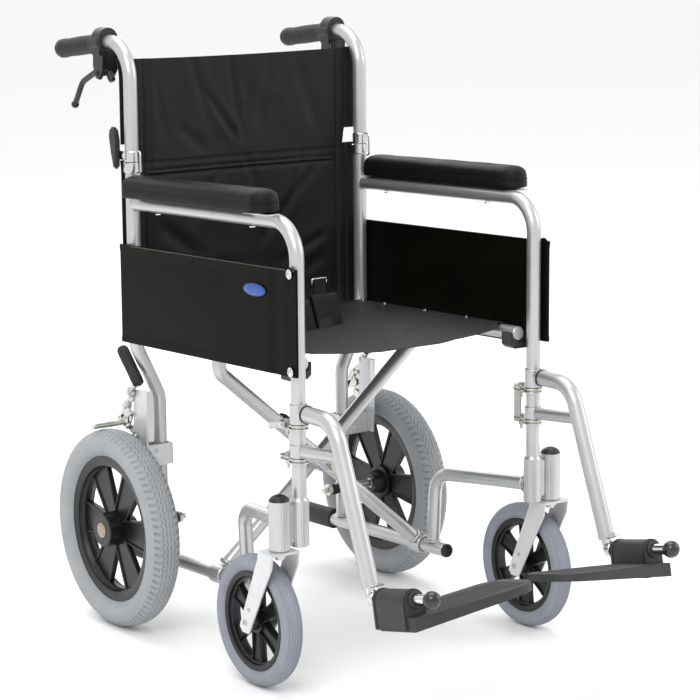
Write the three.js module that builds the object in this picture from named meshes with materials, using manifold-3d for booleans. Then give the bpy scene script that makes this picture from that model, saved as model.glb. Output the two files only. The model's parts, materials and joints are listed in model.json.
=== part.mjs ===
// Attendant-propelled folding wheelchair, millimetres, +Z up.
// The chair faces -Y, its left side is +X, and the floor is Z = 0.
// Every side piece is made once for the left side and mirrored for the right.
import * as THREE from 'three';
import { mergeVertices } from 'three/addons/utils/BufferGeometryUtils.js';
import Module from 'manifold-3d';

const wasm = await Module();
wasm.setup();

// ---- driving dimensions -------------------------------------------------
const GAP = 0.3;
const TUBE_R = 11;
const TUBE_SIDES = 10;
const WHEEL_SIDES = 28;
const SLOPE = Math.tan(THREE.MathUtils.degToRad(2)); // seat frame leans back

const POST_X = 221;
const FRONT_Y = -210;
const CANE_Y = 246;
const HINGE_Z = 745; // half-folding back
const SEAT_RAIL_X = 203;
const SEAT_RAIL_Z = 480; // at Y = 0
const LOWER_X = 180;
const LOWER_RAIL_Z = 109; // at Y = 0
const ARM_Z = 689; // at Y = 0
const BAR_SLOPE = 0.86;

const REAR = { x: 264, y: 243, radius: 160, width: 55, rimRadius: 119 };
const CASTER = { x: 257, radius: 100, width: 34, rimRadius: 76, trail: 57 };
const FOOT_TILT = THREE.MathUtils.degToRad(12);
const SLING = { edge: 6, width: 190, front: -186, rear: 224, thickness: 2.5, offset: 11.5 };

const railZ = (z0, y) => z0 - SLOPE * y;

// ---- materials ----------------------------------------------------------
const paint = (color, roughness, metalness) => ({ color, roughness, metalness });
const ALUMINIUM = paint(0xc9ccd0, 0.35, 0.6);
const CHROME = paint(0xd6d8da, 0.15, 1.0);
const ZINC = paint(0xb9bab6, 0.35, 0.9);
const GREY_TYRE = paint(0x9fa3a8, 0.85, 0);
const BLUE_TYRE = paint(0x8d919f, 0.8, 0);
const RIM = paint(0x151515, 0.3, 0);
const NYLON = paint(0x17181a, 0.75, 0);
const VINYL = paint(0x141414, 0.5, 0);
const PANEL = paint(0x15160f, 0.35, 0);
const GRIP = paint(0x1c1c1c, 0.8, 0);
const PLASTIC = paint(0x1a1a1a, 0.45, 0);
const GREY_PLASTIC = paint(0x3c3d3f, 0.55, 0);

// ---- geometry helpers ---------------------------------------------------
const vec = (x, y, z) => new THREE.Vector3(x, y, z);

function weld(geometry) {
  const bare = geometry.clone();
  bare.deleteAttribute('normal');
  bare.deleteAttribute('uv');
  return mergeVertices(bare, 1e-3);
}

function toSolid(geometry) {
  const welded = weld(geometry);
  return new wasm.Manifold(
    new wasm.Mesh({
      numProp: 3,
      vertProperties: new Float32Array(welded.attributes.position.array),
      triVerts: new Uint32Array(welded.index.array),
    })
  );
}

function toGeometry(solid) {
  const mesh = solid.getMesh();
  const geometry = new THREE.BufferGeometry();
  geometry.setAttribute('position', new THREE.BufferAttribute(mesh.vertProperties, 3));
  geometry.setIndex(new THREE.BufferAttribute(mesh.triVerts, 1));
  return geometry;
}

function union(...geometries) {
  const [first, ...rest] = geometries.map(toSolid);
  return toGeometry(rest.reduce((sum, next) => sum.add(next), first));
}

function cut(geometry, ...tools) {
  return toGeometry(tools.map(toSolid).reduce((left, tool) => left.subtract(tool), toSolid(geometry)));
}

function mirror(geometry) {
  const copy = weld(geometry);
  copy.scale(-1, 1, 1);
  const index = copy.index;
  for (let i = 0; i < index.count; i += 3) {
    const second = index.getX(i + 1);
    index.setX(i + 1, index.getX(i + 2));
    index.setX(i + 2, second);
  }
  return copy;
}

// A path through corner points [x, y, z, bend radius], with each bend as an arc.
class BentPath extends THREE.Curve {
  constructor(corners, arcSteps = 5) {
    super();
    this.points = [];
    corners.forEach(([x, y, z, radius], i) => {
      const corner = vec(x, y, z);
      if (!radius || i === 0 || i === corners.length - 1) {
        this.points.push(corner);
        return;
      }
      const before = vec(...corners[i - 1].slice(0, 3)).sub(corner).normalize();
      const after = vec(...corners[i + 1].slice(0, 3)).sub(corner).normalize();
      const half = before.angleTo(after) / 2;
      const centre = before.clone().add(after).normalize().multiplyScalar(radius / Math.sin(half));
      const start = before.clone().multiplyScalar(radius / Math.tan(half)).sub(centre);
      const axis = new THREE.Vector3().crossVectors(after, before).normalize();
      const sweep = Math.PI - 2 * half;
      for (let step = 0; step <= arcSteps; step += 1) {
        const spoke = start.clone().applyAxisAngle(axis, (sweep * step) / arcSteps);
        this.points.push(spoke.add(centre).add(corner));
      }
    });
    this.steps = this.points.length - 1;
  }

  getPoint(t) {
    const place = Math.min(t * this.steps, this.steps);
    const i = Math.min(Math.floor(place + 1e-9), this.steps - 1);
    return this.points[i].clone().lerp(this.points[i + 1], place - i);
  }

  getPointAt(t) {
    return this.getPoint(t);
  }

  getTangentAt(t) {
    const i = Math.round(t * this.steps);
    const back = this.points[Math.max(i - 1, 0)];
    const here = this.points[i];
    const next = this.points[Math.min(i + 1, this.steps)];
    const incoming = here.clone().sub(back).normalize();
    return incoming.add(next.clone().sub(here).normalize()).normalize();
  }
}

function tube(corners, radius = TUBE_R, sides = TUBE_SIDES, arcSteps = 5) {
  const path = new BentPath(corners, arcSteps);
  const section = new THREE.Shape();
  for (let i = 0; i < sides; i += 1) {
    const angle = (2 * Math.PI * i) / sides;
    const move = i === 0 ? 'moveTo' : 'lineTo';
    section[move](radius * Math.cos(angle), radius * Math.sin(angle));
  }
  section.closePath();
  return new THREE.ExtrudeGeometry(section, { steps: path.steps, extrudePath: path });
}

// A turned solid about the X axis; profile holds [distance along X, radius] pairs.
function turnedX(profile, sides) {
  const points = profile.map(([along, radius]) => new THREE.Vector2(radius, along));
  const geometry = new THREE.LatheGeometry(points, sides);
  geometry.rotateZ(-Math.PI / 2);
  return geometry;
}

function turnedZ(profile, sides) {
  const points = profile.map(([along, radius]) => new THREE.Vector2(radius, along));
  const geometry = new THREE.LatheGeometry(points, sides);
  geometry.rotateX(Math.PI / 2);
  return geometry;
}

function cylinderZ(radius, low, high, sides = 16) {
  return turnedZ([[low, 0], [low, radius], [high, radius], [high, 0]], sides);
}

function cylinderX(radius, low, high, sides = 16) {
  return turnedX([[low, 0], [low, radius], [high, radius], [high, 0]], sides);
}

function cylinderY(radius, low, high, sides = 16) {
  return cylinderX(radius, low, high, sides).rotateZ(Math.PI / 2);
}

function box(low, high) {
  const size = high.map((value, i) => value - low[i]);
  const geometry = new THREE.BoxGeometry(...size);
  geometry.translate(...high.map((value, i) => (value + low[i]) / 2));
  return geometry;
}

// A plate whose outline is given in Y and Z, standing between two X values.
function plateX(outline, low, high, bevel = 0) {
  const shape = new THREE.Shape(outline.map(([y, z]) => new THREE.Vector2(y, z)));
  const geometry = new THREE.ExtrudeGeometry(shape, {
    depth: high - low - 2 * bevel,
    bevelEnabled: bevel > 0,
    bevelThickness: bevel,
    bevelSize: bevel,
    bevelOffset: -bevel,
    bevelSegments: 1,
    steps: 1,
  });
  geometry.rotateX(Math.PI / 2);
  geometry.rotateZ(Math.PI / 2);
  geometry.translate(low + bevel, 0, 0);
  return geometry;
}

// ---- the scene graph ----------------------------------------------------
const chair = new THREE.Group();

function addMesh(name, geometry, look, position = [0, 0, 0], rotation = [0, 0, 0]) {
  const mesh = new THREE.Mesh(geometry, new THREE.MeshStandardMaterial(look));
  mesh.name = name;
  mesh.position.set(...position);
  mesh.rotation.set(...rotation);
  chair.add(mesh);
}

function addPair(name, geometry, look, position = [0, 0, 0], rotation = [0, 0, 0]) {
  const [x, y, z] = position;
  const [rx, ry, rz] = rotation;
  addMesh(`left_${name}`, geometry, look, position, rotation);
  addMesh(`right_${name}`, mirror(geometry), look, [-x, y, z], [rx, -ry, -rz]);
}

// ---- welded side frame --------------------------------------------------
const SLEEVE = { low: 220, high: 293, radius: 14 };
const BARREL = { low: 219, high: 302, radius: 16, bore: 9, boreTop: 290 };
const AXLE_Z = REAR.radius;

function rearPost() {
  const post = tube([
    [POST_X, CANE_Y, HINGE_Z - 3],
    [POST_X, CANE_Y, 452, 45],
    [LOWER_X, CANE_Y, 366, 45],
    [LOWER_X, CANE_Y, railZ(LOWER_RAIL_Z, CANE_Y) + TUBE_R + 1],
  ]);
  const collar = cylinderZ(14, 672, 702).translate(POST_X, CANE_Y, 0);
  const socket = cylinderZ(13.5, 716, HINGE_Z - 3).translate(POST_X, CANE_Y, 0);
  const axleHole = cylinderX(6.4, LOWER_X - 20, LOWER_X + 20).translate(0, REAR.y, AXLE_Z);
  return cut(union(post, collar, socket), axleHole);
}

function armAndPost() {
  const armRear = CANE_Y - 15;
  const arm = tube([
    [POST_X, armRear, railZ(ARM_Z, armRear)],
    [POST_X, FRONT_Y, railZ(ARM_Z, FRONT_Y), 52],
    [POST_X, FRONT_Y, SLEEVE.low + 2],
  ]);
  const sleeve = turnedZ(
    [
      [SLEEVE.low, 0],
      [SLEEVE.low, SLEEVE.radius],
      [SLEEVE.high - 4, SLEEVE.radius],
      [SLEEVE.high, TUBE_R],
      [SLEEVE.high, 0],
    ],
    16
  ).translate(POST_X, FRONT_Y, 0);
  const barrel = cylinderZ(BARREL.radius, BARREL.low, BARREL.high).translate(CASTER.x, FRONT_Y, 0);
  const web = box([POST_X + 4, FRONT_Y - 5, 226], [CASTER.x - 10, FRONT_Y + 5, 286]);
  const bore = cylinderZ(BARREL.bore, BARREL.low - 1, BARREL.boreTop).translate(CASTER.x, FRONT_Y, 0);
  return cut(union(arm, sleeve, barrel, web), bore);
}

function lowerFrame() {
  const railFront = -43;
  const railRear = CANE_Y + 104;
  const rail = tube([
    [LOWER_X, railFront, railZ(LOWER_RAIL_Z, railFront)],
    [LOWER_X, railRear, railZ(LOWER_RAIL_Z, railRear)],
  ]);
  const stay = tube([
    [POST_X - 4, FRONT_Y + SLEEVE.radius + GAP, 247],
    [LOWER_X + 6, -8, 232, 32],
    [LOWER_X, -8, LOWER_RAIL_Z + 2],
  ]);
  return union(rail, stay);
}

addPair('rear_post', rearPost(), ALUMINIUM);
addPair('arm_and_front_post', armAndPost(), ALUMINIUM);
addPair('lower_frame', lowerFrame(), ALUMINIUM);

// ---- tipping lever rubber, axle, seat saddle ----------------------------
function tipRubber() {
  const front = CANE_Y + 22;
  const rear = CANE_Y + 98;
  const sleeve = tube(
    [
      [LOWER_X, front, railZ(LOWER_RAIL_Z, front)],
      [LOWER_X, rear + 12, railZ(LOWER_RAIL_Z, rear + 12)],
    ],
    16
  );
  const hole = tube(
    [
      [LOWER_X, front - 5, railZ(LOWER_RAIL_Z, front - 5)],
      [LOWER_X, CANE_Y + 104 + 0.5, railZ(LOWER_RAIL_Z, CANE_Y + 104.5)],
    ],
    TUBE_R + GAP
  );
  return cut(sleeve, hole);
}

function axle() {
  return turnedX(
    [
      [138, 0], [138, 5], [146, 5], [146, 9], [LOWER_X - TUBE_R - 1.2, 9], [LOWER_X - TUBE_R - 1.2, 6],
      [303, 6], [303, 0],
    ],
    16
  );
}

function saddle() {
  const y = FRONT_Y + 26;
  const z = railZ(SEAT_RAIL_Z, y);
  const x = SEAT_RAIL_X;
  const block = box([x - 15, FRONT_Y + TUBE_R + 1, z - 24], [POST_X + 6, FRONT_Y + 38, z + 2]);
  const channel = tube(
    [
      [x, FRONT_Y - 10, railZ(SEAT_RAIL_Z, FRONT_Y - 10)],
      [x, FRONT_Y + 60, railZ(SEAT_RAIL_Z, FRONT_Y + 60)],
    ],
    TUBE_R + 0.8
  );
  const mouth = box([x - TUBE_R - 0.8, FRONT_Y, z], [x + TUBE_R + 0.8, FRONT_Y + 60, z + 30]);
  const back = cylinderZ(TUBE_R + GAP, z - 60, z + 60).translate(POST_X, FRONT_Y, 0);
  return cut(block, channel, mouth, back);
}

addPair('tipping_rubber', tipRubber(), GRIP);
addPair('rear_axle', axle(), ZINC, [0, REAR.y, AXLE_Z]);
addPair('seat_saddle', saddle(), PLASTIC);

// ---- armrest pad and side panel -----------------------------------------
const PAD_X = POST_X + 12;

function armPad() {
  const rear = CANE_Y - TUBE_R - 8;
  const front = -177;
  const bottom = TUBE_R + GAP;
  const outline = [
    [rear, railZ(ARM_Z, rear) + bottom],
    [rear, railZ(ARM_Z, rear) + bottom + 26],
    [rear - 14, railZ(ARM_Z, rear) + bottom + 37],
    [front + 34, railZ(ARM_Z, front) + bottom + 37],
    [front + 8, railZ(ARM_Z, front) + bottom + 28],
    [front, railZ(ARM_Z, front) + bottom + 18],
    [front + 4, railZ(ARM_Z, front) + bottom + 6],
    [front + 40, railZ(ARM_Z, front + 40) + bottom],
  ];
  return plateX(outline, PAD_X - 25, PAD_X + 25, 4);
}

function sidePanel() {
  const inner = POST_X + TUBE_R + GAP + 0.4;
  const front = FRONT_Y - 19;
  const rear = CANE_Y + 16;
  const top = (y) => railZ(618, y);
  const bottom = (y) => railZ(467, y);
  const outline = [
    [front, bottom(front)],
    [rear, bottom(rear)],
    [rear, top(rear)],
    [front, top(front) + 1],
  ];
  return plateX(outline, inner, inner + 5, 1.2);
}

addPair('arm_pad', armPad(), VINYL);
addPair('side_panel', sidePanel(), PANEL);

// ---- half-folding back: upper cane, grip, hand brake, release ----------
const HANDLE_DROP = Math.tan(THREE.MathUtils.degToRad(7));
const HANDLE = { bendZ: 931, bendR: 58, frontY: 330, rearY: 460, drop: HANDLE_DROP };
const handleZ = (y) => HANDLE.bendZ - HANDLE.drop * (y - CANE_Y - HANDLE.bendR);

function upperCane() {
  const endY = HANDLE.rearY - 4;
  return tube(
    [
      [POST_X, CANE_Y, HINGE_Z + 3],
      [POST_X, CANE_Y, handleZ(CANE_Y), HANDLE.bendR],
      [POST_X, endY, handleZ(endY)],
    ],
    TUBE_R,
    TUBE_SIDES,
    6
  );
}

function alongHandle(profile, sides) {
  const geometry = turnedX(profile, sides);
  geometry.rotateZ(Math.PI / 2);
  geometry.rotateX(-Math.atan(HANDLE.drop));
  geometry.translate(POST_X, CANE_Y + HANDLE.bendR, HANDLE.bendZ);
  return geometry;
}

const GRIP_START = HANDLE.frontY + 12 - CANE_Y - HANDLE.bendR;
const GRIP_END = HANDLE.rearY - CANE_Y - HANDLE.bendR;

function grip() {
  const bore = TUBE_R + 0.5;
  return alongHandle(
    [
      [GRIP_START, bore], [GRIP_START, 17], [GRIP_START + 6, 17], [GRIP_START + 12, 15], [GRIP_END - 18, 15],
      [GRIP_END - 10, 17], [GRIP_END + 1, 16], [GRIP_END + 3, 9], [GRIP_END + 3, 0], [GRIP_END - 1, 0],
      [GRIP_END - 1, bore], [GRIP_START, bore],
    ],
    16
  );
}

function brakeHousing() {
  const start = GRIP_START - 27;
  const clamp = alongHandle([[start, 0], [start, 19], [GRIP_START - 1, 19], [GRIP_START - 1, 0]], 16);
  const hood = box([POST_X - 10, 312, 925], [POST_X + 10, 334, 953]);
  const neck = box([POST_X - 9, 305, 872], [POST_X + 9, 336, 915]);
  const slot = box([POST_X - 4.5, 318, 868], [POST_X + 4.5, 360, 900]);
  const hole = alongHandle([[-40, 0], [-40, TUBE_R + GAP], [120, TUBE_R + GAP], [120, 0]], 16);
  return cut(union(clamp, hood, neck), slot, hole);
}

function handLever() {
  return tube(
    [
      [POST_X, 324, 880],
      [POST_X, 352, 880, 20],
      [POST_X, 395, 862, 34],
      [POST_X, 421, 824],
    ],
    4,
    10
  );
}

function releasePaddle() {
  return plateX(
    [
      [CANE_Y - 4, HINGE_Z - 12], [CANE_Y + 10, HINGE_Z - 14], [CANE_Y + 22, HINGE_Z + 40],
      [CANE_Y + 16, HINGE_Z + 56], [CANE_Y + 4, HINGE_Z + 52], [CANE_Y - 4, HINGE_Z + 20],
    ],
    POST_X + 14.5,
    POST_X + 26,
    1.5
  );
}

addPair('upper_cane', upperCane(), ALUMINIUM);
addPair('push_grip', grip(), GRIP);
addPair('hand_brake_housing', brakeHousing(), PLASTIC);
addPair('hand_brake_lever', handLever(), PLASTIC);
addPair('back_release_paddle', releasePaddle(), PLASTIC);

// ---- back upholstery, in two halves that meet at the fold --------------
const BACK = { low: 484, shoulder: 862, high: 905, y: CANE_Y + 15, thickness: 5, half: POST_X + 9 };

function backPanel(outline) {
  const shape = new THREE.Shape(outline.map(([x, z]) => new THREE.Vector2(x, z)));
  const panel = new THREE.ExtrudeGeometry(shape, { depth: BACK.thickness, bevelEnabled: false });
  panel.rotateX(Math.PI / 2);
  return panel.translate(0, BACK.y + BACK.thickness, 0);
}

function upperBack() {
  const low = HINGE_Z + 2;
  const neck = POST_X - TUBE_R - 3;
  const right = [[BACK.half, low], [BACK.half, BACK.shoulder], [neck, BACK.shoulder], [neck, BACK.high]];
  return backPanel([...right, ...right.map(([x, z]) => [-x, z]).reverse()]);
}

function lowerBack() {
  const high = HINGE_Z - 2;
  return backPanel([[-BACK.half, BACK.low], [BACK.half, BACK.low], [BACK.half, high], [-BACK.half, high]]);
}

addMesh('back_sling_upper', upperBack(), NYLON);
addMesh('back_sling_lower', lowerBack(), NYLON);

// ---- scissor bars with their seat rails --------------------------------
const BAR_Y = { a: 30, b: 72 };
const BAR_BOTTOM_Z = LOWER_RAIL_Z + 1;
const PIVOT_Z = BAR_BOTTOM_Z + LOWER_X * BAR_SLOPE;

// A bar runs from the lower rail on the left up to the seat rail on the right.
function crossBar(y) {
  const topZ = BAR_BOTTOM_Z + (LOWER_X + SEAT_RAIL_X) * BAR_SLOPE;
  const start = 9;
  const bar = tube([
    [LOWER_X - start, y, BAR_BOTTOM_Z + start * BAR_SLOPE],
    [-SEAT_RAIL_X, y, topZ, 24],
    [-SEAT_RAIL_X, y, railZ(SEAT_RAIL_Z, y)],
  ]);
  const rail = tube([
    [-SEAT_RAIL_X, FRONT_Y + TUBE_R + 3, railZ(SEAT_RAIL_Z, FRONT_Y + TUBE_R + 3)],
    [-SEAT_RAIL_X, CANE_Y - 20, railZ(SEAT_RAIL_Z, CANE_Y - 20)],
  ]);
  const low = y - 15;
  const high = y + 15;
  const sleeve = tube(
    [
      [LOWER_X, low, railZ(LOWER_RAIL_Z, low)],
      [LOWER_X, high, railZ(LOWER_RAIL_Z, high)],
    ],
    15
  );
  const bore = tube(
    [
      [LOWER_X, low - 5, railZ(LOWER_RAIL_Z, low - 5)],
      [LOWER_X, high + 5, railZ(LOWER_RAIL_Z, high + 5)],
    ],
    TUBE_R + 0.7
  );
  return cut(union(bar, rail, sleeve), bore);
}

const PIVOT_Y = (BAR_Y.a + BAR_Y.b) / 2;
const HALF_APART = (BAR_Y.b - BAR_Y.a) / 2;

// A cylinder on the bars' common pivot axis, which leans with the lower rails.
function onPivot(radius, low, high) {
  return cylinderY(radius, low, high).rotateX(-Math.atan(SLOPE)).translate(0, PIVOT_Y, PIVOT_Z);
}

function barWithPin() {
  const pin = onPivot(6, -HALF_APART, HALF_APART + 18);
  const head = onPivot(10, HALF_APART + 15, HALF_APART + 19);
  return union(crossBar(BAR_Y.a), pin, head);
}

function barWithBore() {
  const boss = onPivot(14, -HALF_APART + TUBE_R + 1.5, HALF_APART + 13.5);
  const bore = onPivot(6.6, -HALF_APART, HALF_APART + 30);
  return cut(union(mirror(crossBar(BAR_Y.b)), boss), bore);
}

addMesh('cross_bar_a', barWithPin(), ALUMINIUM);
addMesh('cross_bar_b', barWithBore(), ALUMINIUM);

// ---- seat sling, two halves that fold upwards on the seat rails ---------
function slingHalf() {
  const low = SLING.offset;
  const shape = box([SLING.edge, 0, low], [SLING.width, SLING.rear - SLING.front, low + SLING.thickness]);
  return mirror(shape);
}

addPair('seat_sling', slingHalf(), NYLON, [SEAT_RAIL_X, SLING.front, railZ(SEAT_RAIL_Z, SLING.front)], [
  -Math.atan(SLOPE), 0, 0,
]);

// ---- rear wheels --------------------------------------------------------
function spokes(count, turn, inner, outer, width, low, high) {
  return Array.from({ length: count }, (_, i) => {
    const spoke = box([low, -width / 2, inner], [high, width / 2, outer]);
    spoke.rotateX((2 * Math.PI * (i + turn)) / count);
    return spoke;
  });
}

function wheelRim(rimRadius, width, hub, spoke, bore) {
  const half = width / 2;
  const lip = rimRadius - 9;
  const ring = turnedX(
    [
      [-half, lip - 4], [-half, rimRadius], [-half + 5, rimRadius - 6], [half - 5, rimRadius - 6],
      [half, rimRadius], [half, lip - 4], [half - 8, lip - 9], [-half + 8, lip - 9], [-half, lip - 4],
    ],
    WHEEL_SIDES
  );
  const core = turnedX(
    [
      [hub.low, 0], [hub.low, hub.radius * 0.8], [-8, hub.radius], [8, hub.radius],
      [hub.high, hub.radius * 0.8], [hub.high, 0],
    ],
    20
  );
  const arms = spokes(6, spoke.turn, hub.radius - 4, lip - 5, spoke.width, -7, 7);
  return cut(union(ring, core, ...arms), cylinderX(bore, hub.low - 5, hub.high + 5));
}

const REAR_HUB = { low: 236 - REAR.x, high: 299 - REAR.x, radius: 27 };
const REAR_SPOKE = { width: 42, turn: 0.5 };
const rearPlace = [REAR.x, REAR.y, REAR.radius];
const rearRimWidth = 30;
addPair('rear_wheel_rim', wheelRim(REAR.rimRadius, rearRimWidth, REAR_HUB, REAR_SPOKE, 6.5), RIM, rearPlace);
addPair(
  'rear_tyre',
  tyreAround(REAR.rimRadius, REAR.radius, REAR.width, rearRimWidth),
  GREY_TYRE,
  rearPlace
);

// A tyre seated on a rim of the given width, with a round crown.
function tyreAround(rimRadius, radius, width, rimWidth) {
  const seat = rimRadius - 6 + GAP;
  const lip = rimRadius + GAP;
  const halfSeat = rimWidth / 2 - 5 - GAP;
  const half = width / 2;
  const middle = (radius + lip) / 2;
  const crown = radius - middle;
  const profile = [[-halfSeat, seat], [-rimWidth / 2, lip]];
  const steps = 4;
  for (let i = 0; i <= steps; i += 1) {
    const angle = (Math.PI * i) / steps;
    profile.push([-half * Math.cos(angle), middle + crown * Math.sin(angle)]);
  }
  profile.push([rimWidth / 2, lip], [halfSeat, seat], [-halfSeat, seat]);
  return turnedX(profile, WHEEL_SIDES);
}

// ---- casters ------------------------------------------------------------
const CASTER_HUB = { low: -17, high: 17, radius: 19 };
const CASTER_SPOKE = { width: 23, turn: 0 };
const casterRimWidth = 24;
const casterPlace = [CASTER.x, FRONT_Y + CASTER.trail, CASTER.radius];

function casterFork() {
  const legs = [-1, 1].map((side) => {
    const inner = side * 22;
    const outer = side * 25;
    return plateX(
      [
        [-19, 217], [22, 217], [22, 205], [CASTER.trail + 13, 96], [CASTER.trail + 4, 84],
        [CASTER.trail - 12, 88], [-15, 196],
      ],
      Math.min(inner, outer),
      Math.max(inner, outer)
    );
  });
  const crown = box([-25, -19, 213], [25, 22, 217.5]);
  const stem = cylinderZ(BARREL.bore - 0.5, 215, BARREL.boreTop - 4);
  const pin = cylinderX(4, -28, 28).translate(0, CASTER.trail, CASTER.radius);
  return union(crown, stem, pin, ...legs);
}

addPair('caster_fork', casterFork(), ALUMINIUM, [CASTER.x, FRONT_Y, 0]);
addPair(
  'caster_rim',
  wheelRim(CASTER.rimRadius, casterRimWidth, CASTER_HUB, CASTER_SPOKE, 4.5),
  RIM,
  casterPlace
);
addPair(
  'caster_tyre',
  tyreAround(CASTER.rimRadius, CASTER.radius, CASTER.width, casterRimWidth),
  BLUE_TYRE,
  casterPlace
);

// ---- swing-away hanger, on collars round the front post -----------------
const MOUNT_Z = { upper: 400, lower: 350 };
const COLLAR = { bore: TUBE_R + 0.7, radius: 15 };

function mountClamp(z) {
  const ring = cylinderZ(15, z - 6, z + 2).translate(POST_X, FRONT_Y, 0);
  const ears = box([POST_X - 9, FRONT_Y + 8, z - 6], [POST_X + 9, FRONT_Y + 44, z + 2]);
  return union(ring, ears);
}

function hangerMount() {
  const tie = box(
    [POST_X - 9, FRONT_Y + 20, MOUNT_Z.lower - 6],
    [POST_X - 5, FRONT_Y + 36, MOUNT_Z.upper + 2]
  );
  const hole = cylinderZ(TUBE_R + GAP, 300, 450).translate(POST_X, FRONT_Y, 0);
  return cut(union(mountClamp(MOUNT_Z.upper), mountClamp(MOUNT_Z.lower), tie), hole);
}

function hanger() {
  const knee = { y: -300, z: 420 };
  const foot = { y: -381, z: 212 };
  const main = tube([
    [POST_X, FRONT_Y - 13, knee.z],
    [POST_X, knee.y, knee.z, 46],
    [POST_X, foot.y, foot.z],
  ], 12.5);
  const strut = tube([[POST_X, FRONT_Y - 13, 362], [POST_X, -322, 371]], 9.5);
  const collars = [[402.6, 432], [352.6, 372]].map(([low, high]) =>
    cylinderZ(COLLAR.radius, low, high).translate(POST_X, FRONT_Y, 0)
  );
  const hole = cylinderZ(COLLAR.bore, 300, 450).translate(POST_X, FRONT_Y, 0);
  const along = vec(0, foot.y - knee.y, foot.z - knee.z).normalize();
  const legBore = tube(
    [
      [POST_X, foot.y - along.y * 130, foot.z - along.z * 130],
      [POST_X, foot.y + along.y * 10, foot.z + along.z * 10],
    ],
    9.8
  );
  return cut(union(main, strut, ...collars), hole, legBore);
}

function hangerLatch() {
  return plateX(
    [
      [FRONT_Y + 18, 404], [FRONT_Y + 60, 396], [FRONT_Y + 64, 386], [FRONT_Y + 46, 386],
      [FRONT_Y + 46, 392], [FRONT_Y + 18, 392 + 11],
    ],
    POST_X + 9.6,
    POST_X + 13.4
  );
}

addPair('hanger_mount', hangerMount(), ZINC);
addPair('hanger', hanger(), ALUMINIUM);

// ---- leg tube with its spindle and ball, footplate ------------------------
const LEG = { topY: -345, topZ: 304, lowY: -394, lowZ: 178 };
const SPINDLE = { y: -403, z: 184, length: 128, radius: 7, ball: 13 };

function legTube() {
  const post = tube([[POST_X, LEG.topY, LEG.topZ], [POST_X, LEG.lowY, LEG.lowZ]], 9.3);
  const spindle = cylinderY(SPINDLE.radius, -SPINDLE.length, 12);
  const ball = new THREE.SphereGeometry(SPINDLE.ball, 16, 10).translate(0, -SPINDLE.length, 0);
  const forward = union(spindle, ball);
  forward.rotateX(-FOOT_TILT);
  forward.translate(POST_X, SPINDLE.y, SPINDLE.z);
  return union(post, forward);
}

const FOOT = { outer: 18, top: 15, bottom: -41, plate: 13, rear: -9, front: -88, rise: 6 };

function footBlock() {
  const shape = new THREE.Shape();
  shape.moveTo(FOOT.outer, FOOT.bottom);
  shape.lineTo(FOOT.outer, FOOT.top - FOOT.outer);
  shape.absarc(0, FOOT.top - FOOT.outer, FOOT.outer, 0, Math.PI, false);
  shape.lineTo(-FOOT.outer, FOOT.bottom);
  const block = new THREE.ExtrudeGeometry(shape, {
    depth: FOOT.rear - FOOT.front,
    bevelEnabled: false,
    curveSegments: 8,
  });
  block.rotateX(Math.PI / 2);
  return block.translate(0, FOOT.rear, 0);
}

function footDeck() {
  const outline = [
    [18, -20], [18, -107], [-140, -124], [-172, -120], [-179, -60], [-166, -14], [-60, -10], [-20, -14],
  ];
  const shape = new THREE.Shape(outline.map(([x, y]) => new THREE.Vector2(x, y)));
  const deck = new THREE.ExtrudeGeometry(shape, { depth: FOOT.plate, bevelEnabled: false });
  deck.rotateY(THREE.MathUtils.degToRad(FOOT.rise));
  return deck.translate(0, 0, FOOT.bottom + 2);
}

function footplate() {
  const bore = cylinderY(SPINDLE.radius + 0.6, FOOT.front - 30, 10);
  return cut(union(footBlock(), footDeck()), bore);
}

addPair('hanger_latch', hangerLatch(), ZINC);
addPair('leg_tube', legTube(), CHROME);
addPair('footplate', footplate(), GREY_PLASTIC, [POST_X, SPINDLE.y, SPINDLE.z], [-FOOT_TILT, 0, 0]);

// ---- parking brake: bracket, lever and shoe rod ----------------------------
const BRAKE = {
  plateX: 222, gripX: 227, leverY: 252, leverZ: 376, shoeY: 264, shoeZ: 352, rodY: 272, rodZ: 324,
};

function brakeBracket() {
  const plate = plateX(
    [
      [214, 256], [262, 256], [262, 296], [290, 314], [290, 334], [276, 362], [262, 380], [210, 383],
    ],
    BRAKE.plateX,
    BRAKE.plateX + 3
  );
  const clamp = box([LOWER_X - 15, CANE_Y - 16, 254], [BRAKE.plateX + 1, CANE_Y + 16, 289]);
  const hole = cylinderZ(TUBE_R + GAP, 200, 300).translate(LOWER_X, CANE_Y, 0);
  const pinEnd = BRAKE.plateX + 12;
  const leverPin = cylinderX(3.5, BRAKE.plateX, pinEnd, 12).translate(0, BRAKE.leverY, BRAKE.leverZ);
  const shoePin = cylinderX(3.5, BRAKE.plateX, pinEnd, 12).translate(0, BRAKE.shoeY, BRAKE.shoeZ);
  return union(cut(union(plate, clamp), hole), leverPin, shoePin);
}

function parkingLever() {
  const low = BRAKE.plateX + 4;
  const disc = cylinderX(9, low, low + 7, 12).translate(0, BRAKE.leverY, BRAKE.leverZ);
  const gripLow = [BRAKE.gripX, 232, 394];
  const arm = tube(
    [
      [BRAKE.plateX + 9, BRAKE.leverY - 3, BRAKE.leverZ + 3],
      [...gripLow, 6],
      [BRAKE.gripX, 262, 424],
    ],
    4,
    8,
    3
  );
  const handle = tube([gripLow, [BRAKE.gripX, 282, 444]], 8, 12);
  const hole = cylinderX(4, BRAKE.plateX, low + 20, 12).translate(0, BRAKE.leverY, BRAKE.leverZ);
  return cut(union(disc, arm, handle), hole);
}

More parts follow.
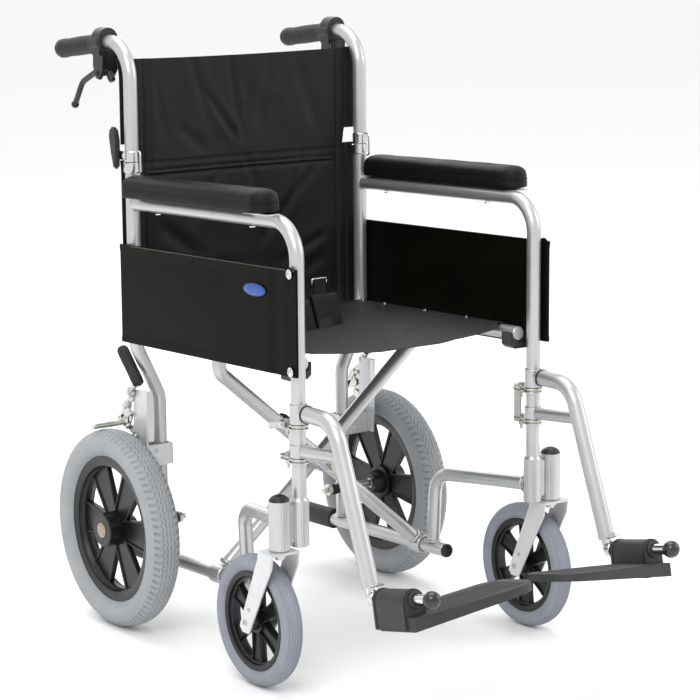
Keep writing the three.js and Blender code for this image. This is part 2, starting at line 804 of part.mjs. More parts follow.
function brakeShoe() {
  const low = BRAKE.plateX + 4;
  const link = plateX(
    [
      [BRAKE.shoeY - 8, BRAKE.shoeZ], [BRAKE.shoeY, BRAKE.shoeZ + 8], [BRAKE.shoeY + 8, BRAKE.shoeZ],
      [BRAKE.rodY + 7, BRAKE.rodZ + 2], [BRAKE.rodY, BRAKE.rodZ - 6], [BRAKE.rodY - 7, BRAKE.rodZ + 2],
    ],
    low,
    low + 3
  );
  const rod = cylinderX(5, low, 290, 12).translate(0, BRAKE.rodY, BRAKE.rodZ);
  const hole = cylinderX(4, BRAKE.plateX, low + 20, 12).translate(0, BRAKE.shoeY, BRAKE.shoeZ);
  return cut(union(link, rod), hole);
}

addPair('brake_bracket', brakeBracket(), ZINC);
addPair('parking_brake_lever', parkingLever(), GRIP);
addPair('brake_shoe', brakeShoe(), ZINC);

// ---- lap belt, lying on the seat -------------------------------------------
function lapBelt() {
  const route = [[70, 214], [40, 120], [0, 20], [-35, -60]];
  const rise = SLING.offset + SLING.thickness + 1.5;
  const half = 24;
  const side = (across) => route.map(([x, y]) => [x + across, y]);
  const outline = [...side(-half), ...side(half).reverse()];
  const shape = new THREE.Shape(outline.map(([x, y]) => new THREE.Vector2(x, y)));
  const strap = new THREE.ExtrudeGeometry(shape, { depth: 4, bevelEnabled: false });
  const buckle = box([-65, -80, 0], [-5, -30, 14]);
  const belt = union(strap, buckle);
  belt.rotateX(-Math.atan(SLOPE));
  return belt.translate(0, 0, SEAT_RAIL_Z + rise);
}

addMesh('lap_belt', lapBelt(), NYLON);

// The origin is on the floor under the middle of the bounding box.
const ORIGIN_SHIFT_Y = 39.1;
chair.position.y = ORIGIN_SHIFT_Y;

export default chair;
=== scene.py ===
"""Looks for an attendant-propelled folding wheelchair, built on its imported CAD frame.

Lengths are millimetres in the CAD's own layout. The chair faces -Y and its left side is +X.
Side pieces are made once for the left side and mirrored for the right.
"""

import json
import math

import bmesh
import bpy
from mathutils import Matrix, Vector, noise


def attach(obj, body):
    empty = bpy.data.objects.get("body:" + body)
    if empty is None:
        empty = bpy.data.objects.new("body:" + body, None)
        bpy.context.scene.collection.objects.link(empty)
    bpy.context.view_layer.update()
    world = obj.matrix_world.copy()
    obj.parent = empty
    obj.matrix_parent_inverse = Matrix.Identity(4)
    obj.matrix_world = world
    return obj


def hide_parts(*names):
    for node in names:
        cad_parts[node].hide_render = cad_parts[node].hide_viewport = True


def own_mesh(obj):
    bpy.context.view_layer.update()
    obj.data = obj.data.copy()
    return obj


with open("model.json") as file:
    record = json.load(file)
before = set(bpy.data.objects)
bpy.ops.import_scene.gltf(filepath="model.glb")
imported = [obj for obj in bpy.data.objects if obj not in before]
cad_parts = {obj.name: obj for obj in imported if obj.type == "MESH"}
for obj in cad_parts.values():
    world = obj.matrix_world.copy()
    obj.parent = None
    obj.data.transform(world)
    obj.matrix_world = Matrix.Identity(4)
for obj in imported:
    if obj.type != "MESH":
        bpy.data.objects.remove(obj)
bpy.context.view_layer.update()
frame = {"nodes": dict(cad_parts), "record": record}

# ---- the CAD's driving dimensions ----------------------------------------------------
ORIGIN_SHIFT_Y = 39.1
GAP = 0.3
UP, DOWN, OUT, AHEAD = (0, 0, 1), (0, 0, -1), (1, 0, 0), (0, -1, 0)
TUBE_R = 11
SLOPE = math.tan(math.radians(2))
POST_X = 221
FRONT_Y = -210
CANE_Y = 246
HINGE_Z = 745
SEAT_RAIL_X = 203
SEAT_RAIL_Z = 480
LOWER_X = 180
LOWER_RAIL_Z = 109
ARM_Z = 689
BAR_SLOPE = 0.86
REAR = Vector((264, 243, 160))
CASTER = Vector((257, -153, 100))
HANDLE_Z = 931
HANDLE_BEND = 58
HANDLE_END = 460
HANDLE_DROP = math.tan(math.radians(7))
FOOT_TILT = math.radians(12)
SPINDLE = Vector((POST_X, -403, 184))


def rail_z(z, y):
    """The height at Y of something that runs along the sloping seat frame."""
    return z - SLOPE * y


def handle_z(y):
    return HANDLE_Z - HANDLE_DROP * (y - CANE_Y - HANDLE_BEND)


# ---- camera --------------------------------------------------------------------------
CAMERA_PLACE = (-2.25217, -3.14048, 1.18718)
CAMERA_YAW = math.radians(-35.5756)
CAMERA_PITCH = math.radians(10.642)
CAMERA_ROLL = math.radians(-0.42537)
SENSOR_WIDTH = 36
FOCAL_IN_PICTURE_WIDTHS = 2531.25 / 700


def make_camera():
    yaw, pitch, roll = CAMERA_YAW, CAMERA_PITCH, CAMERA_ROLL
    level = Vector((math.cos(yaw), math.sin(yaw), 0))
    forward = Vector((-math.sin(yaw) * math.cos(pitch), math.cos(yaw) * math.cos(pitch), -math.sin(pitch)))
    upright = level.cross(forward)
    right = level * math.cos(roll) + upright * math.sin(roll)
    up = upright * math.cos(roll) - level * math.sin(roll)
    camera = bpy.data.objects.new("camera", bpy.data.cameras.new("camera"))
    bpy.context.scene.collection.objects.link(camera)
    turn = Matrix((right, up, -forward)).transposed().to_4x4()
    camera.matrix_world = Matrix.Translation(CAMERA_PLACE) @ turn
    camera.data.sensor_width = SENSOR_WIDTH
    camera.data.lens = FOCAL_IN_PICTURE_WIDTHS * SENSOR_WIDTH
    bpy.context.scene.camera = camera


make_camera()


# ---- solids --------------------------------------------------------------------------
class Solid:
    """Vertices and faces that can be moved and joined."""

    def __init__(self, verts=(), faces=()):
        self.verts = [Vector(v) for v in verts]
        self.faces = [tuple(f) for f in faces]

    def __add__(self, other):
        base = len(self.verts)
        moved = [tuple(i + base for i in f) for f in other.faces]
        return Solid(self.verts + other.verts, self.faces + moved)

    def moved(self, x=0, y=0, z=0):
        return Solid([v + Vector((x, y, z)) for v in self.verts], self.faces)

    def turned(self, angle, axis, about=(0, 0, 0)):
        turn = Matrix.Rotation(angle, 3, axis)
        centre = Vector(about)
        return Solid([turn @ (v - centre) + centre for v in self.verts], self.faces)

    def pointed(self, direction, place):
        """The solid's X axis is laid along direction, with its origin at place."""
        turn = Vector((1, 0, 0)).rotation_difference(Vector(direction))
        return Solid([turn @ v + Vector(place) for v in self.verts], self.faces)

    def mirrored(self):
        return Solid([(-v.x, v.y, v.z) for v in self.verts], [f[::-1] for f in self.faces])

    def bent(self, move):
        return Solid([move(v) for v in self.verts], self.faces)


def rounded(corners, steps=12):
    """The points of a line whose corners (x, y, z, bend radius) are rounded."""
    points = [Vector(corners[0][:3])]
    for before, corner, after in zip(corners, corners[1:], corners[2:]):
        here = Vector(corner[:3])
        radius = corner[3] if len(corner) > 3 else 0
        if radius == 0:
            points.append(here)
            continue
        back = (Vector(before[:3]) - here).normalized()
        on = (Vector(after[:3]) - here).normalized()
        half = back.angle(on) / 2
        centre = here + (back + on).normalized() * (radius / math.sin(half))
        start = here + back * (radius / math.tan(half)) - centre
        end = here + on * (radius / math.tan(half)) - centre
        for i in range(steps + 1):
            points.append(centre + start.slerp(end, i / steps).normalized() * radius)
    points.append(Vector(corners[-1][:3]))
    return points


def grid_faces(rows, columns):
    """Quads between rings of points."""
    faces = []
    for i in range(rows - 1):
        for j in range(columns):
            k = (j + 1) % columns
            faces.append((i * columns + j, i * columns + k, (i + 1) * columns + k, (i + 1) * columns + j))
    return faces


def rings(verts, columns, loop=False):
    """A surface through rings of points; loop joins the last ring to the first."""
    rows = len(verts) // columns
    faces = grid_faces(rows, columns)
    if loop:
        last = (rows - 1) * columns
        for j in range(columns):
            k = (j + 1) % columns
            faces.append((last + j, last + k, k, j))
    return Solid(verts, faces)


def capped(verts, columns):
    """Rings of points whose first and last ring are filled."""
    solid = rings(verts, columns)
    solid.faces += [tuple(range(columns))[::-1], tuple(range(len(verts) - columns, len(verts)))]
    return solid


def sweep(points, radius, sides=32, flat=1.0, edge=1.2):
    """A round bar along points, its ends eased by edge; flat squeezes it sideways."""
    points = [Vector(p) for p in points]
    tangents = []
    for i in range(len(points)):
        ahead = points[min(i + 1, len(points) - 1)] - points[max(i - 1, 0)]
        tangents.append(ahead.normalized())
    side = tangents[0].orthogonal().normalized()
    if abs(tangents[0].x) < 0.9:
        side = Vector((1, 0, 0)) - tangents[0] * tangents[0].x
        side.normalize()
    rows = []
    for i, (point, tangent) in enumerate(zip(points, tangents)):
        if i:
            side = tangents[i - 1].rotation_difference(tangent) @ side
        rows.append((point, tangent, side.copy()))
    first, last = rows[0], rows[-1]
    eased = [(first[0], first[1], first[2], radius - edge)]
    eased.append((first[0] + first[1] * edge, first[1], first[2], radius))
    eased += [(p, t, s, radius) for p, t, s in rows[1:-1]]
    eased.append((last[0] - last[1] * edge, last[1], last[2], radius))
    eased.append((last[0], last[1], last[2], radius - edge))
    verts = []
    for point, tangent, across, size in eased:
        other = tangent.cross(across)
        for j in range(sides):
            angle = 2 * math.pi * j / sides
            verts.append(point + across * (size * flat * math.cos(angle)) + other * (size * math.sin(angle)))
    return capped(verts, sides)


def tube(corners, radius=TUBE_R, sides=32, steps=14):
    return sweep(rounded(corners, steps), radius, sides)


def lathe(profile, sides=64, loop=False):
    """A turned solid about X from (along, radius) pairs; loop closes a ring's profile."""
    verts = []
    for along, radius in profile:
        for j in range(sides):
            angle = 2 * math.pi * j / sides
            verts.append((along, radius * math.cos(angle), radius * math.sin(angle)))
    return rings(verts, sides, loop)


def prism(outline, low, high, plane="yz", bevel=0.8, segments=2):
    """An outline in a plane, extruded across it and with eased edges."""
    place = {
        "yz": lambda a, b, c: (c, a, b),
        "xz": lambda a, b, c: (a, c, b),
        "xy": lambda a, b, c: (a, b, c),
    }[plane]
    mesh = bmesh.new()
    base = [mesh.verts.new(place(a, b, low)) for a, b in outline]
    top = [mesh.verts.new(place(a, b, high)) for a, b in outline]
    mesh.faces.new(base)
    mesh.faces.new(top[::-1])
    for i in range(len(base)):
        j = (i + 1) % len(base)
        mesh.faces.new((base[i], top[i], top[j], base[j]))
    bmesh.ops.recalc_face_normals(mesh, faces=mesh.faces)
    if bevel:
        bmesh.ops.bevel(
            mesh, geom=mesh.edges[:], offset=bevel, segments=segments, affect="EDGES",
            clamp_overlap=True,
        )
    return from_bmesh(mesh)


def from_bmesh(mesh):
    mesh.verts.index_update()
    solid = Solid([v.co for v in mesh.verts], [[v.index for v in f.verts] for f in mesh.faces])
    mesh.free()
    return solid


def sheet_mesh(rows):
    """A mesh of quads through rows of points."""
    mesh = bmesh.new()
    grid = [[mesh.verts.new(point) for point in row] for row in rows]
    for lower, upper in zip(grid, grid[1:]):
        for j in range(len(lower) - 1):
            mesh.faces.new((lower[j], lower[j + 1], upper[j + 1], upper[j]))
    bmesh.ops.recalc_face_normals(mesh, faces=mesh.faces)
    return mesh


def doubled(mesh):
    """Gives a sheet its second face, and returns that face's points."""
    grown = bmesh.ops.extrude_face_region(mesh, geom=mesh.faces[:])
    return [item for item in grown["geom"] if isinstance(item, bmesh.types.BMVert)]


def block(low, high, bevel=1.0):
    outline = [(low[0], low[1]), (high[0], low[1]), (high[0], high[1]), (low[0], high[1])]
    return prism(outline, low[2], high[2], "xy", bevel)


def ellipse(across, up, centre=(0, 0), count=40, tilt=0.0):
    points = []
    for i in range(count):
        angle = 2 * math.pi * i / count
        a, b = across * math.cos(angle), up * math.sin(angle)
        turned = (a * math.cos(tilt) - b * math.sin(tilt), a * math.sin(tilt) + b * math.cos(tilt))
        points.append((centre[0] + turned[0], centre[1] + turned[1]))
    return points


def screw(place, direction, radius=4.5):
    """A pan-head screw with a driver recess, its face towards direction."""
    head = [(0, 0.01), (0, radius), (radius * 0.3, radius * 0.96), (radius * 0.5, radius * 0.62)]
    recess = [(radius * 0.52, radius * 0.4), (radius * 0.2, radius * 0.34), (radius * 0.2, 0.01)]
    return lathe(head + recess, 20).pointed(direction, place)


def hexagon(radius):
    return [(radius * math.cos(math.pi * i / 3), radius * math.sin(math.pi * i / 3)) for i in range(6)]


def half_round(radius, height):
    """The upper half of a circle about (0, height), in steps of ten degrees."""
    angles = [math.radians(a) for a in range(0, 181, 10)]
    return [(radius * math.cos(a), height + radius * math.sin(a)) for a in angles]


def hex_bolt(place, direction, radius=6, height=4.5):
    head = prism(hexagon(radius), 1.2, height, "yz", 0.5)
    washer = lathe([(0, 0.01), (0, radius * 1.25), (1.2, radius * 1.25), (1.2, 0.01)], 24)
    return (head + washer).pointed(direction, place)


# ---- materials -----------------------------------------------------------------------
def noise_node(nodes, links, place, scale, detail=4.0, distortion=0.0):
    node = nodes.new("ShaderNodeTexNoise")
    node.inputs["Scale"].default_value = scale
    node.inputs["Detail"].default_value = detail
    node.inputs["Distortion"].default_value = distortion
    links.new(place, node.inputs["Vector"])
    return node.outputs["Fac"]


def bands(nodes, links, place, direction, period):
    node = nodes.new("ShaderNodeTexWave")
    node.bands_direction = direction
    node.inputs["Scale"].default_value = 2 * math.pi / (20 * period / 1000)
    node.inputs["Distortion"].default_value = 0.6
    node.inputs["Detail"].default_value = 1.0
    links.new(place, node.inputs["Vector"])
    return node.outputs["Fac"]


def height_of(nodes, links, place, kind, size):
    """A height pattern whose features are size millimetres across."""
    if kind == "grain":
        return noise_node(nodes, links, place, 1000 / size)
    if kind == "cells":
        node = nodes.new("ShaderNodeTexVoronoi")
        node.feature = "SMOOTH_F1"
        node.inputs["Scale"].default_value = 1000 / size
        links.new(place, node.inputs["Vector"])
        return node.outputs["Distance"]
    mixed = nodes.new("ShaderNodeMath")
    mixed.operation = "MULTIPLY"
    links.new(bands(nodes, links, place, "X", size), mixed.inputs[0])
    links.new(bands(nodes, links, place, "Y" if kind == "weave_flat" else "Z", size), mixed.inputs[1])
    return mixed.outputs["Value"]


def look(
    name, color, roughness, metallic=0.0, coat=0.0, sheen=0.0, mottle=0.12, patch=45.0, layers=(),
    specular=0.5,
):
    """A material with mottled colour, uneven roughness and bump layers (kind, size, depth)."""
    material = bpy.data.materials.new(name)
    material.use_nodes = True
    nodes, links = material.node_tree.nodes, material.node_tree.links
    shader = nodes["Principled BSDF"]
    place = nodes.new("ShaderNodeTexCoord").outputs["Object"]
    blotches = noise_node(nodes, links, place, 1000 / patch, 8.0, 0.4)
    ramp = nodes.new("ShaderNodeValToRGB")
    ramp.color_ramp.elements[0].position = 0.3
    ramp.color_ramp.elements[1].position = 0.7
    ramp.color_ramp.elements[0].color = (*[c * (1 - mottle) for c in color], 1)
    ramp.color_ramp.elements[1].color = (*[min(c * (1 + mottle), 1) for c in color], 1)
    links.new(blotches, ramp.inputs["Fac"])
    links.new(ramp.outputs["Color"], shader.inputs["Base Color"])
    spread = nodes.new("ShaderNodeMapRange")
    spread.inputs["To Min"].default_value = max(roughness * 0.82, 0.03)
    spread.inputs["To Max"].default_value = min(roughness * 1.18, 1.0)
    links.new(noise_node(nodes, links, place, 2600 / patch, 6.0), spread.inputs["Value"])
    links.new(spread.outputs["Result"], shader.inputs["Roughness"])
    shader.inputs["Metallic"].default_value = metallic
    shader.inputs["Coat Weight"].default_value = coat
    shader.inputs["Coat Roughness"].default_value = 0.12
    shader.inputs["Sheen Weight"].default_value = sheen
    shader.inputs["Sheen Roughness"].default_value = 0.35
    shader.inputs["Specular IOR Level"].default_value = specular
    below = None
    for kind, size, depth in layers:
        bump = nodes.new("ShaderNodeBump")
        bump.inputs["Strength"].default_value = 1.0
        bump.inputs["Distance"].default_value = depth / 1000
        links.new(height_of(nodes, links, place, kind, size), bump.inputs["Height"])
        if below:
            links.new(below, bump.inputs["Normal"])
        below = bump.outputs["Normal"]
    if below:
        links.new(below, shader.inputs["Normal"])
    return material


SILVER = look(
    "silver_paint", (0.50, 0.505, 0.51), 0.33, metallic=0.75, coat=0.1, mottle=0.04, patch=60,
    layers=[("grain", 1.2, 0.03), ("grain", 9, 0.03)],
)
CHROME = look(
    "chrome", (0.66, 0.67, 0.68), 0.12, metallic=1.0, mottle=0.04, patch=40,
    layers=[("grain", 14, 0.02)],
)
ZINC = look(
    "zinc_plate", (0.55, 0.55, 0.52), 0.3, metallic=0.95, mottle=0.14, patch=12,
    layers=[("grain", 1.5, 0.05), ("grain", 6, 0.05)],
)
BRIGHT = look(
    "bright_sheet", (0.62, 0.63, 0.64), 0.36, metallic=0.4, mottle=0.04, patch=30,
    layers=[("grain", 2.5, 0.03)],
)
BRONZE = look(
    "bronze_cap", (0.34, 0.27, 0.21), 0.38, metallic=0.7, mottle=0.15, patch=8,
    layers=[("grain", 1.5, 0.05)],
)
REAR_RUBBER = look(
    "grey_rubber", (0.31, 0.325, 0.335), 0.75, mottle=0.07, patch=35,
    layers=[("grain", 1.4, 0.06), ("grain", 14, 0.1)], specular=0.3,
)
CASTER_RUBBER = look(
    "blue_grey_rubber", (0.235, 0.25, 0.285), 0.6, mottle=0.06, patch=30,
    layers=[("grain", 1.2, 0.05)], specular=0.3,
)
NYLON_RIM = look(
    "rim_nylon", (0.006, 0.006, 0.006), 0.36, mottle=0.3, patch=25,
    layers=[("grain", 1.6, 0.05), ("grain", 12, 0.08)], specular=0.4,
)
SEAT_CLOTH = look(
    "seat_nylon", (0.016, 0.016, 0.018), 0.5, sheen=0.04, mottle=0.2, patch=60,
    layers=[("weave_flat", 3.2, 0.3), ("grain", 30, 0.5)], specular=0.35,
)
BACK_CLOTH = look(
    "back_nylon", (0.0065, 0.007, 0.008), 0.55, sheen=0.03, mottle=0.2, patch=70,
    layers=[("weave_upright", 1.1, 0.08), ("grain", 22, 0.5)], specular=0.22,
)
WEBBING = look(
    "webbing", (0.012, 0.012, 0.012), 0.7, sheen=0.04, mottle=0.2, patch=14,
    layers=[("weave_upright", 2.2, 0.3)], specular=0.25,
)
VINYL = look(
    "vinyl", (0.0055, 0.0055, 0.0055), 0.46, mottle=0.2, patch=40,
    layers=[("cells", 1.6, 0.12), ("grain", 18, 0.3)], specular=0.16,
)
PANEL_SHEET = look(
    "panel_sheet", (0.0036, 0.0036, 0.0024), 0.4, mottle=0.25, patch=90,
    layers=[("cells", 1.2, 0.03), ("grain", 45, 0.5)], specular=0.05,
)
PIPING = look(
    "panel_edge", (0.10, 0.095, 0.075), 0.5, mottle=0.15, patch=10,
    layers=[("grain", 1, 0.05)], specular=0.3,
)
RUBBER = look(
    "black_rubber", (0.015, 0.015, 0.015), 0.6, mottle=0.2, patch=20,
    layers=[("cells", 1.5, 0.12)], specular=0.35,
)
PLASTIC = look(
    "black_plastic", (0.009, 0.009, 0.009), 0.38, mottle=0.2, patch=25,
    layers=[("grain", 1.1, 0.05)], specular=0.45,
)
GREY_PLASTIC = look(
    "grey_plastic", (0.025, 0.0255, 0.027), 0.5, mottle=0.14, patch=25,
    layers=[("grain", 0.9, 0.08)], specular=0.4,
)
GLOSS = look(
    "ball_gloss", (0.010, 0.010, 0.010), 0.16, coat=0.3, mottle=0.2, patch=12,
    layers=[("grain", 8, 0.03)],
)
BADGE = look(
    "badge_blue", (0.0, 0.055, 0.32), 0.3, coat=0.1, mottle=0.1, patch=6,
    layers=[("grain", 1.5, 0.02)],
)

SLOTS = {
    SILVER: "frame", CHROME: "chrome", ZINC: "zinc", BRIGHT: "zinc", BRONZE: "zinc",
    REAR_RUBBER: "rear_tyre", CASTER_RUBBER: "caster_tyre", NYLON_RIM: "rim", SEAT_CLOTH: "nylon",
    BACK_CLOTH: "nylon", WEBBING: "webbing", VINYL: "vinyl", PANEL_SHEET: "panel", PIPING: "panel",
    RUBBER: "grip", PLASTIC: "plastic", GREY_PLASTIC: "grey_plastic", GLOSS: "plastic", BADGE: "plastic",
}

# Every CAD node gets its slot's material, so that none is left plain.
NODE_LOOK = {slot: material for material, slot in reversed(list(SLOTS.items()))}
for part in frame["record"]["subparts"]:
    cad = frame["nodes"][part["node"]]
    cad.data.materials.clear()
    cad.data.materials.append(NODE_LOOK[part["material_slot"]])


# ---- pieces --------------------------------------------------------------------------
def add(name, solid, material, body, replaces=(), sharp=32, smooth_levels=0):
    """Makes a piece of the solid, in metres in the row frame, and lets it ride on a body."""
    mesh = bpy.data.meshes.new(name)
    verts = [(v.x / 1000, (v.y + ORIGIN_SHIFT_Y) / 1000, v.z / 1000) for v in solid.verts]
    mesh.from_pydata(verts, [], solid.faces)
    tidy = bmesh.new()
    tidy.from_mesh(mesh)
    bmesh.ops.remove_doubles(tidy, verts=tidy.verts, dist=1e-6)
    bmesh.ops.dissolve_degenerate(tidy, dist=1e-7, edges=tidy.edges)
    bmesh.ops.recalc_face_normals(tidy, faces=tidy.faces)
    tidy.to_mesh(mesh)
    tidy.free()
    mesh.materials.append(material)
    mesh.shade_smooth()
    mesh.set_sharp_from_angle(angle=math.radians(sharp))
    piece = bpy.data.objects.new(name, mesh)
    bpy.context.scene.collection.objects.link(piece)
    if smooth_levels:
        piece.modifiers.new("smooth", "SUBSURF").levels = smooth_levels
        piece.modifiers["smooth"].render_levels = smooth_levels
    if replaces:
        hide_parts(*replaces)
    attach(piece, body)
    return piece


def pair(name, solid, material, body, replaces=(), **options):
    """The same piece on both sides: body and replaces are named without left_ or right_."""
    pieces = []
    for side, shape in (("left", solid), ("right", solid.mirrored())):
        nodes = [f"{side}_{node}" for node in replaces]
        pieces.append(add(f"{side}_{name}", shape, material, f"{side}_{body}", nodes, **options))
    return pieces


# ---- side frames ---------------------------------------------------------------------
def weld(place, direction, radius, width=2.2):
    """A rounded bead where one tube is welded to another."""
    profile = [
        (width * math.cos(math.pi * i / 6), radius + width * math.sin(math.pi * i / 6))
        for i in range(7)
    ]
    return lathe(profile, 40).pointed(direction, place)


def ring_z(low, high, inner, outer, x, y, soft=1.0, sides=48):
    """An upright collar with eased edges."""
    profile = [
        (low, inner), (low, outer - soft), (low + soft, outer), (
            high - soft, outer,
        ), (high, outer - soft), (high, inner),
    ]
    return lathe(profile, sides, loop=True).pointed(UP, (x, y, 0))


post_foot = rail_z(LOWER_RAIL_Z, CANE_Y) + TUBE_R
rear_post = tube([
    (
        POST_X, CANE_Y, HINGE_Z - 3,
    ), (POST_X, CANE_Y, 452, 45), (LOWER_X, CANE_Y, 366, 45), (LOWER_X, CANE_Y, post_foot),
])
rear_post += weld((LOWER_X, CANE_Y, post_foot + 1), UP, TUBE_R)
rear_post += weld((POST_X, CANE_Y - TUBE_R, rail_z(ARM_Z, CANE_Y)), (0, 1, 0), TUBE_R - 1)
pair("rear_post_tube", rear_post, SILVER, "frame", ["rear_post"])
pair("cane_socket", ring_z(729, HINGE_Z - 0.6, TUBE_R, 13.2, POST_X, CANE_Y, 1), CHROME, "frame")

arm_rear = CANE_Y - TUBE_R
arm = tube([
    (POST_X, arm_rear, rail_z(ARM_Z, arm_rear)), (
        POST_X, FRONT_Y, rail_z(ARM_Z, FRONT_Y), 52,
    ), (POST_X, FRONT_Y, 222),
])
sleeve = lathe([(220, 8), (220, 13), (221, 14), (289, 14), (293, 11.2), (294, 11)], 48)
sleeve = sleeve.pointed(UP, (POST_X, FRONT_Y, 0))


def fluted(low, high, radius, x, y, flutes=28, depth=0.35):
    """An extruded barrel with fine upright flutes."""
    sides = flutes * 6
    verts = []
    for z, inset in ((low, 1.2), (low + 1.2, 0), (high - 1.2, 0), (high, 1.2)):
        for j in range(sides):
            angle = 2 * math.pi * j / sides
            size = radius - inset - depth * (0.5 - 0.5 * math.cos(angle * flutes))
            verts.append((x + size * math.cos(angle), y + size * math.sin(angle), z))
    return capped(verts, sides)


barrel = fluted(219, 293.5, 16, CASTER.x, FRONT_Y) + fluted(221, 290, 14.2, POST_X, FRONT_Y)
web = block((POST_X + 6, FRONT_Y - 5, 226), (CASTER.x - 10, FRONT_Y + 5, 286), 2)
pair("arm_tube", arm + sleeve + barrel + web, SILVER, "frame", ["arm_and_front_post"])
dome = [(301, 15), (302, 15.6), (304, 14.8), (307, 12.2), (309.5, 8), (311, 3), (311.2, 0.01)]
pair("barrel_cap", lathe(dome, 48).pointed(UP, (CASTER.x, FRONT_Y, -8.5)), PLASTIC, "frame", sharp=60)

rail_front, rail_rear = -43, CANE_Y + 103
lower = tube([
    (
        LOWER_X, rail_front, rail_z(LOWER_RAIL_Z, rail_front),
    ), (LOWER_X, rail_rear, rail_z(LOWER_RAIL_Z, rail_rear)),
])
lower += tube(
    [(POST_X - 2, FRONT_Y + 12, 247), (LOWER_X + 6, -8, 232, 32), (LOWER_X, -8, LOWER_RAIL_Z + TUBE_R)]
)
lower += weld((LOWER_X, -8, LOWER_RAIL_Z + TUBE_R + 1), UP, TUBE_R)
lower += weld((POST_X - 4, FRONT_Y + 14.5, 246.6), (-0.18, 1, -0.07), TUBE_R)
pair("lower_rail", lower, SILVER, "frame", ["lower_frame"])
cap_profile = [(0, 0.01), (0, 8), (1.5, 10.6), (4, 11.3), (5, 11.3), (5, 0.01)]
rail_end = (LOWER_X, rail_front, rail_z(LOWER_RAIL_Z, rail_front))
rail_cap = lathe(cap_profile, 40).moved(-5).pointed((0, 1, -SLOPE), rail_end)
pair("rail_cap", rail_cap, PLASTIC, "frame")

# The tipping lever's rubber sleeve is a plain oval block.
sleeve_profile = [(0, 11.4), (0, 13), (3, 15.5), (82, 15.5), (87, 13), (89, 8), (89.5, 0.01)]
tip = lathe(sleeve_profile, 48).bent(lambda v: Vector((v.x, v.y * 0.86, v.z * 1.12)))
tip = tip.pointed((0, 1, -SLOPE), (LOWER_X, CANE_Y + 22, rail_z(LOWER_RAIL_Z, CANE_Y + 22)))
pair("tip_sleeve", tip, RUBBER, "frame", ["tipping_rubber"])

axle = lathe([
    (139, 0.01), (138, 3), (138, 4.5), (139, 5), (146, 5), (146, 9), (147, 10), (152, 10), (153, 9), (153, 6),
    (167, 6), (167, 10.5), (168.6, 10.5), (168.6, 6.2), (235, 6.2), (235, 8), (238, 8), (291, 6), (291, 0.01),
], 40).moved(y=REAR.y, z=REAR.z)
pair("axle_bolt", axle, ZINC, "frame", ["rear_axle"])
nut = prism(hexagon(9.5), 154, 166, "yz", 0.8)
pair("axle_nut", nut.moved(y=REAR.y, z=REAR.z), PLASTIC, "frame")


def saddle():
    """The open plastic cradle that the seat rail drops into."""
    y, x = FRONT_Y + 25, SEAT_RAIL_X
    z = rail_z(SEAT_RAIL_Z, y)
    channel = []
    for i in range(13):
        angle = math.pi + math.pi * i / 12
        channel.append((x + (TUBE_R + 0.9) * math.cos(angle), z + (TUBE_R + 0.9) * math.sin(angle)))
    outline = [(x - 15, z + 2), (x - 15, z - 17), (x - 8, z - 23), (POST_X + 5, z - 23), (POST_X + 5, z + 1)]
    outline += [(x + TUBE_R + 0.9, z + 1)] + channel[::-1][1:-1] + [(x - TUBE_R - 0.9, z + 2)]
    return prism(outline, FRONT_Y + TUBE_R + 1.5, FRONT_Y + 38, "xz", 0.8)


pair("rail_cradle", saddle(), PLASTIC, "frame", ["seat_saddle"])


# ---- armrest pads --------------------------------------------------------------------
PAD = {"x": POST_X + 12, "front": -165, "rear": 227, "half": 24.5, "heel": 12, "seam": 15, "height": 36}


def pad_edge():
    """The pad's plan, as pairs of an edge point and the point on its middle line that it shrinks to."""
    half, heel = PAD["half"], PAD["heel"]
    nose, back = PAD["front"] + half, PAD["rear"] - half
    right = []
    for i in range(17):
        angle = math.pi / 2 * (i / 16 - 1)
        right.append(((half * math.cos(angle), nose + half * math.sin(angle)), (0, nose)))
    for i in range(1, 40):
        y = nose + (back - nose) * i / 40
        right.append(((half, y), (0, y)))
    corner = (half - heel, PAD["rear"] - heel)
    for i in range(17):
        angle = math.pi / 2 * i / 16
        right.append(((corner[0] + heel * math.cos(angle), corner[1] + heel * math.sin(angle)), (0, back)))
    left = [((-x, y), middle) for (x, y), middle in right[1:][::-1]]
    return right + left


def pad_ring(inset, z):
    share = inset / PAD["half"]
    return [(x + (mx - x) * share, y + (my - y) * share, z) for (x, y), (mx, my) in pad_edge()]


def pad_body():
    layers = [(1.5, 0.0), (0.2, 2.0), (0, 8.0), (0.4, 13.5), (1.4, PAD["seam"]), (0.5, 16.8)]
    crown = PAD["height"] - 17
    for i in range(1, 15):
        inset = 24.3 * i / 14
        layers.append((inset, 17 + crown * (1 - (1 - inset / 24.4) ** 2.4) ** (1 / 2.4)))
    verts = [point for inset, z in layers for point in pad_ring(inset, z)]
    return capped(verts, len(pad_edge()))


def on_arm(solid):
    """Lifts a solid built about the arm's line onto the sloping arm tube."""
    return solid.bent(lambda v: Vector((v.x + PAD["x"], v.y, v.z + rail_z(ARM_Z, v.y) + TUBE_R + GAP)))


def slack(v):
    """Small uneven dips where the vinyl isn't quite tight."""
    if v.z < 16:
        return v
    dip = noise.noise(Vector((v.x / 30, v.y / 46, 3.0))) * 0.9
    near_front = max(0, 1 - abs(v.y - PAD["front"] - 30) / 26)
    near_seam = max(0, 1 - abs(v.z - 20) / 8)
    gathers = 0.7 * near_front * math.sin(v.y * 1.35) * near_seam
    return Vector((v.x, v.y, v.z + dip + gathers))


